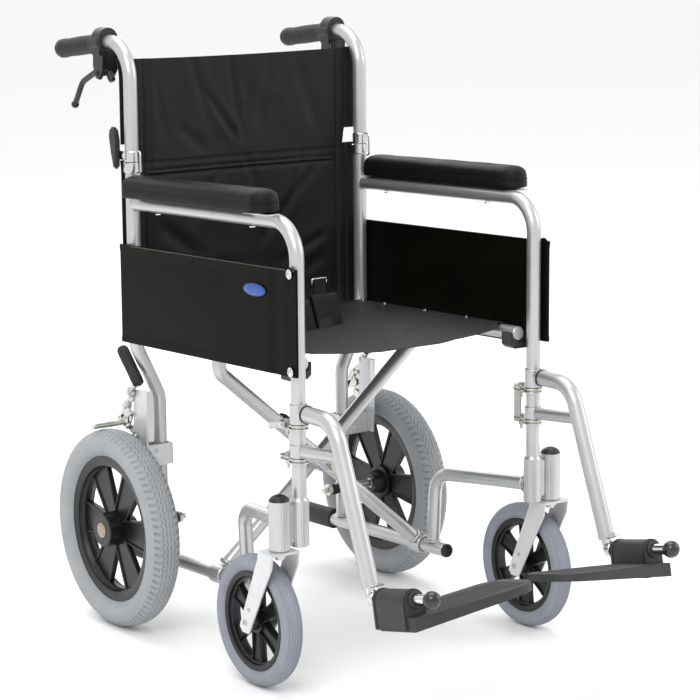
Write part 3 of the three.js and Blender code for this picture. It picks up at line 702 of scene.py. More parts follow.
cushion = on_arm(pad_body().bent(slack))
for pad in pair("arm_cushion", cushion, VINYL, "frame", ["arm_pad"], sharp=50, smooth_levels=1):
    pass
seam_line = [Vector(p) for p in pad_ring(0.3, PAD["seam"])]
seam = sweep(seam_line + [seam_line[0]], 0.7, 8, edge=0.2)
pair("arm_pad_seam", on_arm(seam), VINYL, "frame", sharp=70)
plate_edge = block((-12, PAD["front"] - 3, -2.2), (10, PAD["front"] + 60, -0.2), 0.5)
pair("arm_pad_plate", on_arm(plate_edge), CHROME, "frame")
under = [screw((POST_X, y, rail_z(ARM_Z, y) - TUBE_R - 1), (0, -SLOPE, -1), 5) for y in (-96, 169)]
pair("arm_pad_screws", under[0] + under[1], CHROME, "frame")


# ---- side panels ---------------------------------------------------------------------
PANEL_X = POST_X + TUBE_R + 0.7
PANEL_FRONT, PANEL_REAR = FRONT_Y - 19, CANE_Y + 16


def panel_top(y):
    return rail_z(624, y)


def panel_low(y):
    return rail_z(467, y)


def side_panel():
    """A stiff sheet, folded over at its front, top and bottom, and a little bowed."""
    rows, columns = 26, 40
    grid = []
    for i in range(rows + 1):
        row = []
        for j in range(columns + 1):
            y = PANEL_FRONT + (PANEL_REAR - PANEL_FRONT) * j / columns
            share = i / rows
            z = panel_low(y) + (panel_top(y) - panel_low(y)) * share
            bow = 1.6 * math.sin(math.pi * share) * math.sin(math.pi * j / columns)
            hem = 0.9 if share > 0.93 or share < 0.06 else 0
            fold = -1.4 * math.exp(-((y - PANEL_FRONT - 48) / 2.2) ** 2)
            row.append((PANEL_X + 4 + bow + hem + fold, y, z))
        grid.append(row)
    mesh = sheet_mesh(grid)
    for vert in doubled(mesh):
        vert.co.x = PANEL_X
    return from_bmesh(mesh)


pair("panel_sheet", side_panel(), PANEL_SHEET, "frame", ["side_panel"], sharp=40)
edge_run = [Vector((PANEL_X + 5.2, PANEL_FRONT + 2 + 24 * i, 0)) for i in range(20)]
top_edge = sweep([Vector((v.x, v.y, panel_top(v.y) - 1.5)) for v in edge_run], 0.5, 8, edge=0.1)
pair("panel_seam", top_edge, PIPING, "frame", sharp=70)
tab = prism(ellipse(9, 7, (FRONT_Y - 4, panel_top(FRONT_Y) - 3), 24), PANEL_X + 3.5, PANEL_X + 6.4, "yz", 0.8)
tab += prism(
    ellipse(9, 7, (FRONT_Y - 4, panel_low(FRONT_Y) + 7), 24), PANEL_X + 3.5, PANEL_X + 6.4, "yz", 0.8,
)
pair("panel_tabs", tab, PANEL_SHEET, "frame")
heads = Solid()
for y, z in ((FRONT_Y - 6, 625), (FRONT_Y - 7, 482)):
    cup = lathe([(0, 0.01), (0, 7), (0.7, 7.3), (1.2, 6.6), (1.2, 0.01)], 28)
    heads += cup.pointed(OUT, (PANEL_X + 6.2, y, z))
    heads += screw((PANEL_X + 7.2, y, z), OUT, 5)
pair("panel_screws", heads, CHROME, "frame")


BADGE_POINTS = 48
BADGE_CENTRE = (-125, 591)
BADGE_TILT = -0.035


def badge():
    """A plain domed oval, tilted with the arm."""
    rows = [(1.0, 0.0), (1.0, 1.0), (0.94, 1.7), (0.6, 2.1), (0.2, 2.3)]
    verts = []
    for size, x in rows:
        for y, z in ellipse(28.5 * size, 9 * size, BADGE_CENTRE, BADGE_POINTS, BADGE_TILT):
            verts.append((PANEL_X + 5.0 + x, y, z))
    return capped(verts, BADGE_POINTS)


add("badge", badge().mirrored(), BADGE, "right_frame", sharp=50)
rim_oval = ellipse(29, 9.4, BADGE_CENTRE, BADGE_POINTS, BADGE_TILT)
rim_line = [Vector((PANEL_X + 5.8, y, z)) for y, z in rim_oval]
add(
    "badge_rim", sweep(rim_line + [rim_line[0]], 0.6, 8, edge=0.1).mirrored(), PLASTIC, "right_frame",
    sharp=70,
)

# ---- push handles and hand brakes ----------------------------------------------------
end_y = HANDLE_END - 4
cane = tube([
    (POST_X, CANE_Y, HINGE_Z + 3), (POST_X, CANE_Y, handle_z(CANE_Y), HANDLE_BEND),
    (POST_X, end_y, handle_z(end_y)),
], steps=20)
pair("cane_tube", cane, SILVER, "upper_back", ["upper_cane"])
pair("hinge_sleeve", ring_z(HINGE_Z + 0.6, 763, TUBE_R, 13.2, POST_X, CANE_Y, 1), CHROME, "upper_back")
hook_line = rounded([
    (POST_X, CANE_Y - 12, 763), (
        POST_X, CANE_Y - 26, 764, 5,
    ), (POST_X, CANE_Y - 27, 728, 5), (POST_X, CANE_Y - 19, 727),
])
hook = sweep(hook_line, 1.5, 12)
plate_line = [
    (CANE_Y - 4, 749), (CANE_Y - 4, 763), (CANE_Y + 14, 763), (CANE_Y + 17, 757), (CANE_Y + 14, 749),
]
hook += prism(plate_line, POST_X + 13.2, POST_X + 14.2, "yz", 0.3)
hook += screw((POST_X + 13.6, CANE_Y + 2, 756), OUT, 4.2)
pair("hinge_hook", hook, CHROME, "upper_back")


def along_handle(profile, sides=48):
    turn = Vector((0, 1, -HANDLE_DROP))
    return lathe(profile, sides).pointed(turn, (POST_X, CANE_Y + HANDLE_BEND, HANDLE_Z))


start = 330 + 12 - CANE_Y - HANDLE_BEND
end = HANDLE_END - CANE_Y - HANDLE_BEND
grip = [(start, 11.2), (start, 16), (start + 1, 17), (start + 4, 17), (start + 6, 15.6)]
for i in range(12):
    at = start + 12 + i * (end - start - 34) / 12
    swell = 0.8 * math.sin(math.pi * (i + 0.5) / 12)
    grip += [(at, 14.1 + swell), (at + 0.8, 14.5 + swell), (at + 5.4, 14.5 + swell), (at + 6.2, 14.1 + swell)]
grip += [
    (end - 20, 14.8), (end - 14, 15.6), (end - 3, 15.4), (end + 1.5, 13.5), (end + 3, 9),
    (end + 3, 0.01),
]
pair("grip_rubber", along_handle(grip), RUBBER, "upper_back", ["push_grip"])

clamp = [(-27, 11.2), (-27, 17), (-25.5, 19), (-2.5, 19), (-1, 17.5), (-1, 11.2)]
housing = along_handle([(start + along, radius) for along, radius in clamp])
hood = [(POST_X + x, z) for x, z in [(17.5, 908)] + half_round(17.5, 935) + [(-17.5, 908)]]
housing += prism(hood, 309, 335, "xz", 3, 3)
for side in (-1, 1):
    cheek = [(303, 915), (336, 912), (338, 892), (330, 872), (318, 870), (306, 884)]
    housing += prism(cheek, POST_X + side * 11 - 3, POST_X + side * 11 + 3, "yz", 1.4)
    housing += screw((POST_X + side * 14.2, 324, 880), (side, 0, 0), 3.8)
housing += prism([(303, 915), (330, 913), (314, 886), (305, 886)], POST_X - 9, POST_X + 9, "yz", 1.0)
outlet = lathe([(0, 0.01), (0, 5.5), (3, 6), (16, 6), (19, 4), (19, 0.01)], 24)
housing += outlet.pointed((-0.1, -0.5, -0.85), (POST_X, 312, 884))
pair("brake_housing", housing, PLASTIC, "upper_back", ["hand_brake_housing"])
lever_tip = (POST_X, 421, 824)
lever_line = rounded([(POST_X, 324, 880), (POST_X, 352, 880, 20), (POST_X, 395, 862, 34), lever_tip], 10)
lever = sweep(lever_line, 5.2, 20, flat=0.85)
tip_ball = [(-6.4, 0.01), (-5.6, 3.4), (-2.6, 6), (0, 6.6), (2.6, 6), (5.6, 3.4), (6.4, 0.01)]
lever += lathe(tip_ball, 20).pointed(UP, lever_tip)
pair("brake_lever", lever, PLASTIC, "hand_brake", ["hand_brake_lever"], sharp=50)
paddle = [
    (259, 735), (268, 733), (276, 760), (281, 785), (278, 797), (270, 801), (262, 797), (257, 780),
    (257, 762),
]
paddle_piece = prism(paddle, POST_X + 13, POST_X + 22, "yz", 2.8, 3)
pair("release_paddle", paddle_piece, PLASTIC, "back_release", ["back_release_paddle"])


# ---- back upholstery -----------------------------------------------------------------
BACK_Y = 263
BACK_HALF = POST_X + 9
BACK_THICKNESS = 1.8
BACK_LOW = {"upper": HINGE_Z - 1.5, "lower": 462}
BACK_HIGH = {"upper": 905, "lower": HINGE_Z + 1.5}
CREASES = {
    # x and z of both ends, half width, depth
    "upper": [
        (
            -95, 905, -62, 800, 9, 2.2,
        ), (-62, 840, -12, 770, 7, 2.6), (-20, 890, 2, 768, 6, 2.0), (20, 850, 4, 775, 7, 1.8),
        (
            -118, 790, -70, 752, 10, 1.5,
        ), (60, 900, 36, 790, 8, 1.3), (110, 880, 150, 775, 12, 1.4), (-170, 880, -150, 780, 8, 1.5),
    ],
    "lower": [
        (168, 600, 80, 560, 8, 2.4), (
            -165, 640, -90, 585, 12, 2.6,
        ), (-40, 720, -100, 640, 10, 1.8), (150, 720, 40, 600, 9, 2.4),
        (120, 735, 95, 660, 7, 2.0), (10, 735, 40, 650, 9, 1.6), (165, 560, 60, 515, 10, 2.2), (
            -160, 540, -20, 560, 12, 2.0,
        ),
    ],
}


def crease(x, z, line):
    x0, z0, x1, z1, width, depth = line
    run = Vector((x1 - x0, z1 - z0))
    share = ((x - x0) * run.x + (z - z0) * run.y) / run.length_squared
    if not -0.15 < share < 1.15:
        return 0.0
    across = abs((x - x0) * run.y - (z - z0) * run.x) / run.length
    fade = min(1, (share + 0.15) / 0.3, (1.15 - share) / 0.3)
    ridge = 1.4 * math.exp(-((across / width) ** 2))
    valley = 0.5 * math.exp(-(((across - 1.6 * width) / width) ** 2))
    return depth * fade * (ridge - valley)


def cloth_drape(x, z, part):
    """How far the back cloth stands out of its plane, towards the attendant."""
    free = max(0, 1 - (x / 176) ** 2)
    middle = 0.5 * (BACK_LOW[part] + BACK_HIGH[part])
    tall = (z - middle) / (0.5 * (BACK_HIGH[part] - BACK_LOW[part]))
    sag = 8 * free * (0.55 + 0.45 * (1 - tall * tall))
    ripple = 2.2 * noise.noise(Vector((x / 58, z / 74, 2.0 if part == "upper" else 7.0))) * free
    fine = 0.8 * noise.noise(Vector((x / 21, z / 25, 11.0))) * free
    folds = sum(crease(x, z, line) for line in CREASES[part]) * min(1, 3 * free)
    seams = 0.0
    for at, depth in ((186, 3.2), (176, 2.6), (203, 1.6)):
        seams += depth * math.exp(-(((abs(x) - at) / 2.4) ** 2))
    step = -2.2 if abs(x) < 178 else 0
    pleats = 0.0
    if part == "lower":
        for at in (737, 728, 718):
            pleats += 4.2 * math.exp(-(((z - at) / 2.0) ** 2)) * (abs(x) < 182)
    behind = 2.2 if part == "lower" else 0.0
    return sag + ripple + fine + folds + seams + step + pleats + behind * math.exp(-((z - HINGE_Z) / 9) ** 2)


def behind_bend(x, z):
    """How far back the cane's bend stands, where the sleeve follows it."""
    start = HANDLE_Z - HANDLE_BEND
    if abs(x) < 200 or z <= start:
        return 0.0
    share = min(1, (abs(x) - 200) / 6)
    return share * (HANDLE_BEND - math.sqrt(HANDLE_BEND ** 2 - (z - start) ** 2))


def back_sheet(part):
    """One piece of the back, thickened, with its side sleeves and pleats."""
    low, high = BACK_LOW[part], BACK_HIGH[part]
    columns, rows = 200, 72
    grid = []
    for i in range(rows + 1):
        row = []
        for j in range(columns + 1):
            x = -BACK_HALF + 2 * BACK_HALF * j / columns
            top = high
            if part == "upper":
                top -= 2.5 * max(0, 1 - (x / 200) ** 2)
            foot = low + 28 * min(1, max(0, (abs(x) - 197) / 4)) * (part == "upper")
            z = foot + (top - foot) * i / rows
            row.append((x, BACK_Y + cloth_drape(x, z, part) + behind_bend(x, z), z))
        grid.append(row)
    mesh = sheet_mesh(grid)
    for vert in doubled(mesh):
        vert.co.y += BACK_THICKNESS
    return from_bmesh(mesh)


for part, body, support in (
    ("upper", "right_upper_back", "left_upper_cane"), ("lower", "right_frame", "left_rear_post"),
):
    piece = add(f"back_{part}", back_sheet(part), BACK_CLOTH, body, [f"back_sling_{part}"], sharp=60)
    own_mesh(piece)


# ---- seat ----------------------------------------------------------------------------
SLING_FRONT, SLING_REAR = -186, 224
CLOTH_TOP = 13.2
SEAT_THICKNESS = 1.3
SEAT_SCREW_X = 199


def seat_dip(x, y):
    """The cloth's sag under its own weight, deepest at the middle and at the front edge."""
    free = max(0, 1 - (x / 190) ** 2)
    near_front = math.exp(-((y - SLING_FRONT) / 150) ** 2)
    ripple = 1.6 * noise.noise(
        Vector((x / 46, y / 80, 5.0))
    ) + 0.7 * noise.noise(Vector((x / 16, y / 30, 9.0)))
    return free * (8 + 6 * near_front) + free * ripple


def seat_half():
    """The left half of the seat cloth, from the middle over the seat rail and down its outside."""
    columns, rows = 70, 90
    grid = []
    for i in range(rows + 1):
        share = i / rows
        row = []
        for j in range(columns + 1):
            flat = 0.25 + SEAT_RAIL_X * min(j, 52) / 52
            start = SLING_FRONT + 30 * min(1, max(0, (flat - 172) / 22))
            y = start + (SLING_REAR - start) * share
            hem = 1.3 * math.exp(-(((y - start - 22) / 2.2) ** 2)) - 0.8 * (y < start + 20)
            if j <= 52:
                lift = CLOTH_TOP - seat_dip(flat, y) - hem - 1.2 * math.exp(-(((flat - 176) / 2.2) ** 2))
                row.append((flat, y, rail_z(SEAT_RAIL_Z, y) + lift))
                continue
            reach = 4.4 if min(abs(y - 30), abs(y - 72)) < 15 else 10.5
            angle = math.radians(90 - reach * (j - 52))
            row.append((
                SEAT_RAIL_X + CLOTH_TOP * math.cos(angle), y, rail_z(
                    SEAT_RAIL_Z, y,
                ) + CLOTH_TOP * math.sin(angle),
            ))
        grid.append(row)
    mesh = sheet_mesh(grid)
    if sum(f.normal.z for f in mesh.faces) < 0:
        bmesh.ops.reverse_faces(mesh, faces=mesh.faces[:])
    mesh.normal_update()
    normals = {v: v.normal.copy() for v in mesh.verts}
    under = doubled(mesh)
    old = {tuple(round(c, 5) for c in v.co): n for v, n in normals.items() if v.is_valid}
    for vert in under:
        vert.co -= old.get(tuple(round(c, 5) for c in vert.co), Vector((0, 0, 1))) * SEAT_THICKNESS
    return from_bmesh(mesh)


for half in pair("seat_cloth", seat_half(), SEAT_CLOTH, "seat_half", ["seat_sling"], sharp=60):
    support = "cross_bar_a" if half.name[0] == "r" else "cross_bar_b"
rail_screws = Solid()
for y in (-71, 37, 147, 208):
    top = rail_z(SEAT_RAIL_Z, y) + CLOTH_TOP
    cup = lathe([(0, 0.01), (0, 4.6), (0.8, 4.9), (1.3, 4), (1.3, 0.01)], 24)
    rail_screws += cup.pointed(UP, (SEAT_SCREW_X, y, top - 0.4))
    rail_screws += screw((SEAT_SCREW_X, y, top + 0.7), UP, 3.8)
pair("seat_screws", rail_screws, CHROME, "seat_half")

# ---- scissor bars --------------------------------------------------------------------
BAR_BOTTOM = LOWER_RAIL_Z + 1
PIVOT = Vector((0, 51, BAR_BOTTOM + LOWER_X * BAR_SLOPE))


def cross_bar(y):
    """A bar from the lower rail on the left up to the seat rail on the right, with both rails' fittings."""
    top = BAR_BOTTOM + (LOWER_X + SEAT_RAIL_X) * BAR_SLOPE
    foot = (LOWER_X - 11, y, BAR_BOTTOM + 11 * BAR_SLOPE)
    bar = tube([foot, (-SEAT_RAIL_X, y, top, 24), (-SEAT_RAIL_X, y, rail_z(SEAT_RAIL_Z, y) - TUBE_R)])
    bar += weld((-SEAT_RAIL_X, y, rail_z(SEAT_RAIL_Z, y) - TUBE_R - 1), UP, TUBE_R)
    front, rear = FRONT_Y + TUBE_R + 3, CANE_Y - 20
    bar += tube(
        [(-SEAT_RAIL_X, front, rail_z(SEAT_RAIL_Z, front)), (-SEAT_RAIL_X, rear, rail_z(SEAT_RAIL_Z, rear))]
    )
    sleeve = lathe([(-15, 11.7), (-15, 14), (-14, 15), (14, 15), (15, 14), (15, 11.7)], 48, loop=True)
    bar += sleeve.pointed((0, 1, -SLOPE), (LOWER_X, y, rail_z(LOWER_RAIL_Z, y)))
    bar += weld((LOWER_X - 12.5, y, BAR_BOTTOM + 11.5), (-1, 0, BAR_SLOPE), TUBE_R, 2.6)
    return bar


add("cross_bar_a_tube", cross_bar(30), SILVER, "bar_a", ["cross_bar_a"])
add("cross_bar_b_tube", cross_bar(72).mirrored(), SILVER, "bar_b", ["cross_bar_b"])
lean = Vector((0, -1, SLOPE))
add("pivot_bolt", hex_bolt((0, 0, 0), OUT, 9, 7).pointed(lean, PIVOT + lean * 33), ZINC, "bar_a")
pin = lathe([(-40, 0.01), (-40, 6), (34, 6), (34, 0.01)], 24).pointed(lean, PIVOT)
add("pivot_pin", pin, ZINC, "bar_a")
add("pivot_nut", hex_bolt((0, 0, 0), OUT, 9, 7).pointed(-lean, PIVOT - lean * 34), ZINC, "bar_a")
boss = lathe([(-33, 7), (-33, 13), (-31, 14), (8, 14), (9.5, 13), (9.5, 7)], 40, loop=True)
add("pivot_boss", boss.pointed(lean, PIVOT), SILVER, "bar_b")
bump = block((-28, -12, -7), (28, 12, 7), 4).turned(math.atan(BAR_SLOPE), "Y")
add("rail_rest_rubber", bump.moved(-60, 47, PIVOT.z + 60 * BAR_SLOPE + 18), RUBBER, "bar_a")


# ---- wheels --------------------------------------------------------------------------
def spoke(inner, outer, half_in, half_out, depth_in, depth_out, waisted=0.3):
    """A moulded spoke: a thin web between two deep edge ribs that flare into the rim."""
    solid = Solid()
    steps = 14
    for part, low, high in (("web", -1, 1), ("rib", -1, -0.8), ("rib", 0.8, 1)):
        verts = []
        for i in range(steps + 1):
            share = i / steps
            z = inner + (outer - inner) * share
            waist = 1 - waisted * math.sin(math.pi * min(1, share * 1.1))
            half = (half_in + (half_out - half_in) * share) * waist
            depth = depth_in + (depth_out - depth_in) * share
            if part == "web":
                depth *= 0.45
            soft = 1.2 if part == "rib" else 0.2
            a, b = half * low, half * high
            section = [
                (-depth, a + soft), (-depth, b - soft), (-depth + soft, b), (depth - soft, b),
                (depth, b - soft), (depth, a + soft), (depth - soft, a), (-depth + soft, a),
            ]
            verts += [(x, y, z) for x, y in section]
        solid += capped(verts, 8)
    return solid


def turned_about_x(solid, count):
    whole = Solid()
    for i in range(count):
        whole += solid.turned(2 * math.pi * i / count, "X")
    return whole


def rear_rim():
    ring = [
        (
            14.2, 118.6,
        ), (15, 117.6), (15, 104), (14, 102.2), (9, 101), (7, 99), (4, 97.4), (-4, 97.4), (-7, 99), (-9, 101),
        (-14, 102.2), (-15, 104), (-15, 117.6), (-14.2, 118.6), (-10, 113.2), (10, 113.2),
    ]
    hub = [
        (-28, 7), (
            -28, 15.5,
        ), (-26.5, 17), (-9, 21), (-8, 27.5), (29, 27.5), (30.5, 26), (30.5, 14), (29.5, 13), (29.5, 7),
    ]
    arms = turned_about_x(spoke(24, 100, 17, 28, 5.5, 4.5, 0.0), 6).turned(math.radians(30), "X")
    return lathe(ring, 160, loop=True) + lathe(hub, 72, loop=True) + arms


def tyre(rim_radius, radius, half, tread, around, across=64):
    """A tyre with its bead in the rim; tread gives the radial change at (angle, tilt across)."""
    middle = (radius + rim_radius) / 2
    crown = radius - middle
    verts = []
    for i in range(across + 1):
        phi = math.radians(-152 + 304 * i / across)
        flat = 0.9 if abs(phi) < math.radians(50) else 1
        for j in range(around):
            angle = 2 * math.pi * j / around
            x = half * math.sin(phi)
            r = middle + crown * math.copysign(abs(math.cos(phi)) ** flat, math.cos(phi))
            r += tread(angle, phi)
            verts.append((x, r * math.cos(angle), r * math.sin(angle)))
    return rings(verts, around, loop=True)


BLOCKS = 84


def block_tread(angle, phi):
    """Shoulder notches and four zigzag grooves, with a fine bead line on the sidewall."""
    tilt = math.degrees(phi)
    phase = (angle * BLOCKS / (2 * math.pi)) % 1.0
    depth = 0.0
    wave = 3.6 * (abs(phase - 0.5) * 4 - 1)
    for line in (-21, -7, 7, 21):
        depth += 2.8 * math.exp(-(((tilt - line - wave) / 2.6) ** 2))
    if 27 < abs(tilt) < 56:
        notch = abs(((phase + 0.012 * abs(tilt)) % 1.0) - 0.5)
        depth += 4.2 * max(0, 1 - (notch / 0.22) ** 2) * min(1, (abs(tilt) - 27) / 5, (56 - abs(tilt)) / 6)
    depth += 0.8 * math.exp(-(((abs(tilt) - 74) / 1.6) ** 2))
    depth += 0.8 * math.exp(-(((abs(tilt) - 112) / 2.2) ** 2))
    return -depth


def rib_tread(_angle, phi):
    """Even grooves round the tread."""
    tilt = math.degrees(phi)
    depth = 0.0
    for line in (-40, -24, -8, 8, 24, 40):
        depth += 1.8 * math.exp(-(((tilt - line) / 3.0) ** 2))
    depth += 0.5 * math.exp(-(((abs(tilt) - 100) / 2.5) ** 2))
    return -depth


at_rear = (REAR.x, REAR.y, REAR.z)
pair("rear_rim", rear_rim().moved(*at_rear), NYLON_RIM, "rear_wheel", ["rear_wheel_rim"], sharp=35)
rear_tyre = tyre(114.5, 160, 27.5, block_tread, BLOCKS * 8, 72)
pair("rear_tyre_tread", rear_tyre.moved(*at_rear), REAR_RUBBER, "rear_wheel", ["rear_tyre"], sharp=50)
hub_cap = [(31.4, 0.01), (32, 5), (32, 11.4), (31.2, 12.7), (28.5, 12.8)]
pair("hub_cap", lathe(hub_cap, 40).moved(*at_rear), BRONZE, "rear_wheel")


def caster_rim():
    ring = [
        (11.4, 75.6), (
            12, 74.6,
        ), (12, 69), (11, 67), (7, 66), (5, 63.4), (-5, 63.4), (-7, 66), (-11, 67), (-12, 69), (-12, 74.6),
        (-11.4, 75.6), (-8, 70.2), (8, 70.2),
    ]
    rim = lathe(ring, 128, loop=True)
    hub = [
        (-17, 4.8), (-17, 11), (-15.5, 12.5), (-8, 14), (-7, 19), (7, 19), (8, 14), (15.5, 12.5),
        (17, 11), (17, 4.8),
    ]
    rim += lathe(hub, 56, loop=True)
    return rim + turned_about_x(spoke(16, 65, 10, 13.5, 7.5, 6.5, 0.15), 6)


at_caster = (CASTER.x, CASTER.y, CASTER.z)
pair(
    "caster_rim_moulding", caster_rim().moved(*at_caster), NYLON_RIM, "caster_wheel", ["caster_rim"],
    sharp=35,
)
caster_tyre = tyre(72.5, 100, 17, rib_tread, 160, 96)
pair(
    "caster_tyre_ribs", caster_tyre.moved(*at_caster), CASTER_RUBBER, "caster_wheel", ["caster_tyre"],
    sharp=50,
)


# ---- caster forks --------------------------------------------------------------------
def caster_fork():
    outline = [(-17, 217.5), (21, 217.5), (22, 206), (70, 98)]
    outline += [(72, 92), (65, 84), (48, 84), (42, 94), (-14, 196)]
    legs = prism(outline, 22, 25, "yz", 0.7) + prism(outline, -25, -22, "yz", 0.7)
    crown = block((-24.6, -18, 214), (24.6, 21.5, 217.8), 1.4)
    stem = lathe(
        [(205, 0.01), (205, 7), (209, 7.5), (209, 10), (213, 10.5), (213, 8.5), (286, 8.5), (286, 0.01)],
        40,
    )
    bearing = lathe([(217.8, 8.6), (217.8, 12.5), (218.9, 12.5), (218.9, 8.6)], 40, loop=True)
    return legs + crown + (stem + bearing).pointed(UP, (0, 0, 0))


pair("fork_plates", caster_fork().moved(CASTER.x, FRONT_Y), BRIGHT, "fork", ["caster_fork"])
bolts = lathe([(-22, 0.01), (-22, 4), (22, 4), (22, 0.01)], 24).moved(*at_caster)
for side in (-1, 1):
    bolts += screw((CASTER.x + side * 25, CASTER.y, CASTER.z), (side, 0, 0), 4.6)
    bolts += screw((CASTER.x + side * 25, CASTER.y - 11, CASTER.z + 22), (side, 0, 0), 3.2)
stem_nut = lathe([(0, 0.01), (0, 9), (2, 9), (2, 7), (8, 7), (9, 5), (9, 0.01)], 6)
bolts += stem_nut.pointed(DOWN, (CASTER.x, FRONT_Y, 213.5))
pair("fork_bolts", bolts, ZINC, "fork")

# ---- footrest hangers ----------------------------------------------------------------
mounting = Solid()
for z in (400, 350):
    mounting += ring_z(z - 6, z - 3.4, TUBE_R + 0.3, 15, POST_X, FRONT_Y, 0.5)
    mounting += ring_z(z - 0.6, z + 2, TUBE_R + 0.3, 15, POST_X, FRONT_Y, 0.5)
    corners = [(-9, 12), (9, 12), (9, 36), (4, 43), (-4, 43), (-9, 36)]
    ear = [(POST_X + x, FRONT_Y + y) for x, y in corners]
    mounting += prism(ear, z - 6, z - 3.4, "xy", 0.6) + prism(ear, z - 0.6, z + 2, "xy", 0.6)
    mounting += hex_bolt((POST_X, FRONT_Y + 28, z + 2), UP, 5, 4)
    mounting += hex_bolt((POST_X, FRONT_Y + 28, z - 6), DOWN, 5, 5)
    pin = lathe([(-12, 0.01), (-12, 2.6), (2, 2.8), (2, 0.01)], 16)
    mounting += pin.pointed(UP, (POST_X, FRONT_Y + 28, z - 6))
tie = [(FRONT_Y + 20, 345), (FRONT_Y + 36, 345), (FRONT_Y + 36, 401), (FRONT_Y + 20, 401)]
mounting += prism(tie, POST_X - 9, POST_X - 6, "yz", 0.6)
pair("hanger_clamps", mounting, ZINC, "frame", ["hanger_mount"])

KNEE = Vector((POST_X, -300, 420))
FOOT = Vector((POST_X, -387, 196.5))
hanger = tube([(POST_X, FRONT_Y - 14, 420), (*KNEE, 46), tuple(FOOT)], 12.5, 40, 20)
hanger += tube([(POST_X, FRONT_Y - 13, 362), (POST_X, -318, 370.8)], 9.5, 32)
hanger += weld((POST_X, -311, 370.2), (0, -1, 0.08), 9.5, 2.2)
for low, high in ((402.6, 432), (352.6, 372)):
    hanger += ring_z(low, high, TUBE_R + 0.7, 13.2, POST_X, FRONT_Y, 0.8)
along_leg = (FOOT - KNEE).normalized()
hanger += lathe([(-9, 12.4), (-9, 12.9), (-1, 12.9), (0, 12.2), (0, 9.6)], 40).pointed(along_leg, FOOT)
pair("hanger_tube", hanger, SILVER, "hanger", ["hanger"])
collar = lathe([(-1.2, 12.4), (-1.2, 13.6), (1.2, 13.6), (1.2, 12.4)], 40, loop=True)
collar = collar.pointed(AHEAD, (POST_X, FRONT_Y - 22, 420))
pair("hanger_seal", collar, RUBBER, "hanger")
latch_line = [(18, 394), (18, 404), (58, 397), (64, 389), (56, 386), (46, 391)]
latch = prism([(FRONT_Y + y, z) for y, z in latch_line], POST_X + 9.8, POST_X + 13.2, "yz", 0.8)
latch += screw((POST_X + 13, FRONT_Y + 22, 399), OUT, 3.4)
pair("hanger_catch", latch, ZINC, "hanger_latch", ["hanger_latch"])

# ---- legs and footplates -------------------------------------------------------------
forward = Vector((0, -math.cos(FOOT_TILT), math.sin(FOOT_TILT)))


def on_foot(solid):
    """Tilts a solid built about the spindle, and sets it in place."""
    return solid.turned(-FOOT_TILT, "X").moved(*SPINDLE)


leg = tube([(POST_X, -345, 304), (POST_X, -394, 178)], 9.3, 36)
spindle = lathe([(-12, 0.01), (-12, 6), (-11, 8.2), (118, 8.2), (118, 6), (118, 0.01)], 40)
leg += on_foot(spindle.pointed(AHEAD, (0, 0, 0)))
boss = lathe([(-4, 0.01), (-4, 11.5), (-3, 12.5), (6, 12.5), (7, 11.5), (7, 0.01)], 32)
leg += boss.pointed(forward, SPINDLE - forward * 6)
strap = [(-9, -11), (9, -11), (9, 13), (-9, 13)]
leg += prism([(x + POST_X, y - 396) for x, y in strap], 203, 205, "xy", 0.6)
leg += hex_bolt((POST_X + 3, -396, 205), UP, 4, 3)
pair("leg_tube_chrome", leg, CHROME, "leg", ["leg_tube"])
BALL_R = 13
ball = [(-12.8, 3), (-12.2, 6)]
for latitude in range(-56, 90, 8):
    angle = math.radians(latitude)
    ball.append((BALL_R * math.sin(angle), BALL_R * math.cos(angle)))
ball += [(BALL_R, 0.01)]
pair("footplate_ball", on_foot(lathe(ball, 48).pointed(AHEAD, (0, -128, 0))), GLOSS, "leg", sharp=60)

DECK_TIP = -199
DECK_Z = -31
DECK_MIDDLE = -66


def deck_height(x, y):
    """Ribs along the deck, which stop short of its border."""
    ribs = 0.0
    for line in (-40, -56, -72, -88, -102):
        ribs += 1.7 * math.exp(-(((y - line) / 3.2) ** 4))
    border = min(1, max(0, (x - DECK_TIP - 12) / 8), max(0, (-24 - x) / 8))
    return ribs * border


def footplate():
    """The deck, dished from its barrel block to its inner end, with moulded ribs and a rim."""
    tilt = math.tan(math.radians(6))
    columns, rows = 84, 60
    grid = []
    for i in range(columns + 1):
        x = 16 + (DECK_TIP - 16) * i / columns
        low, high = deck_edges(x)
        row = []
        for j in range(rows + 1):
            y = low + (high - low) * j / rows
            lip = 1.2 if j in (0, rows) else 0
            row.append((x, y, DECK_Z + thickness(x) / 2 - lip - x * tilt + deck_height(x, y)))
        grid.append(row)
    mesh = sheet_mesh(grid)
    for vert in doubled(mesh):
        vert.co.z = DECK_Z - thickness(vert.co.x) / 2 - vert.co.x * tilt
        vert.co.y = DECK_MIDDLE + (vert.co.y - DECK_MIDDLE) * 0.985
    return from_bmesh(mesh)


def thickness(x):
    """The deck tapers from its block to its inner end."""
    return 20 - 9 * min(1, max(0, x / DECK_TIP))


def deck_edges(x):
    """The deck's front and rear edges at X."""
    front = -104 - 18 * min(1, max(0, -x / 140))
    rear = -20 + 8 * min(1, max(0, -x / 60))
    nose = max(0, (DECK_TIP + 38 - x) / 38)
    return front + 30 * nose ** 3, rear - 24 * nose ** 2.2


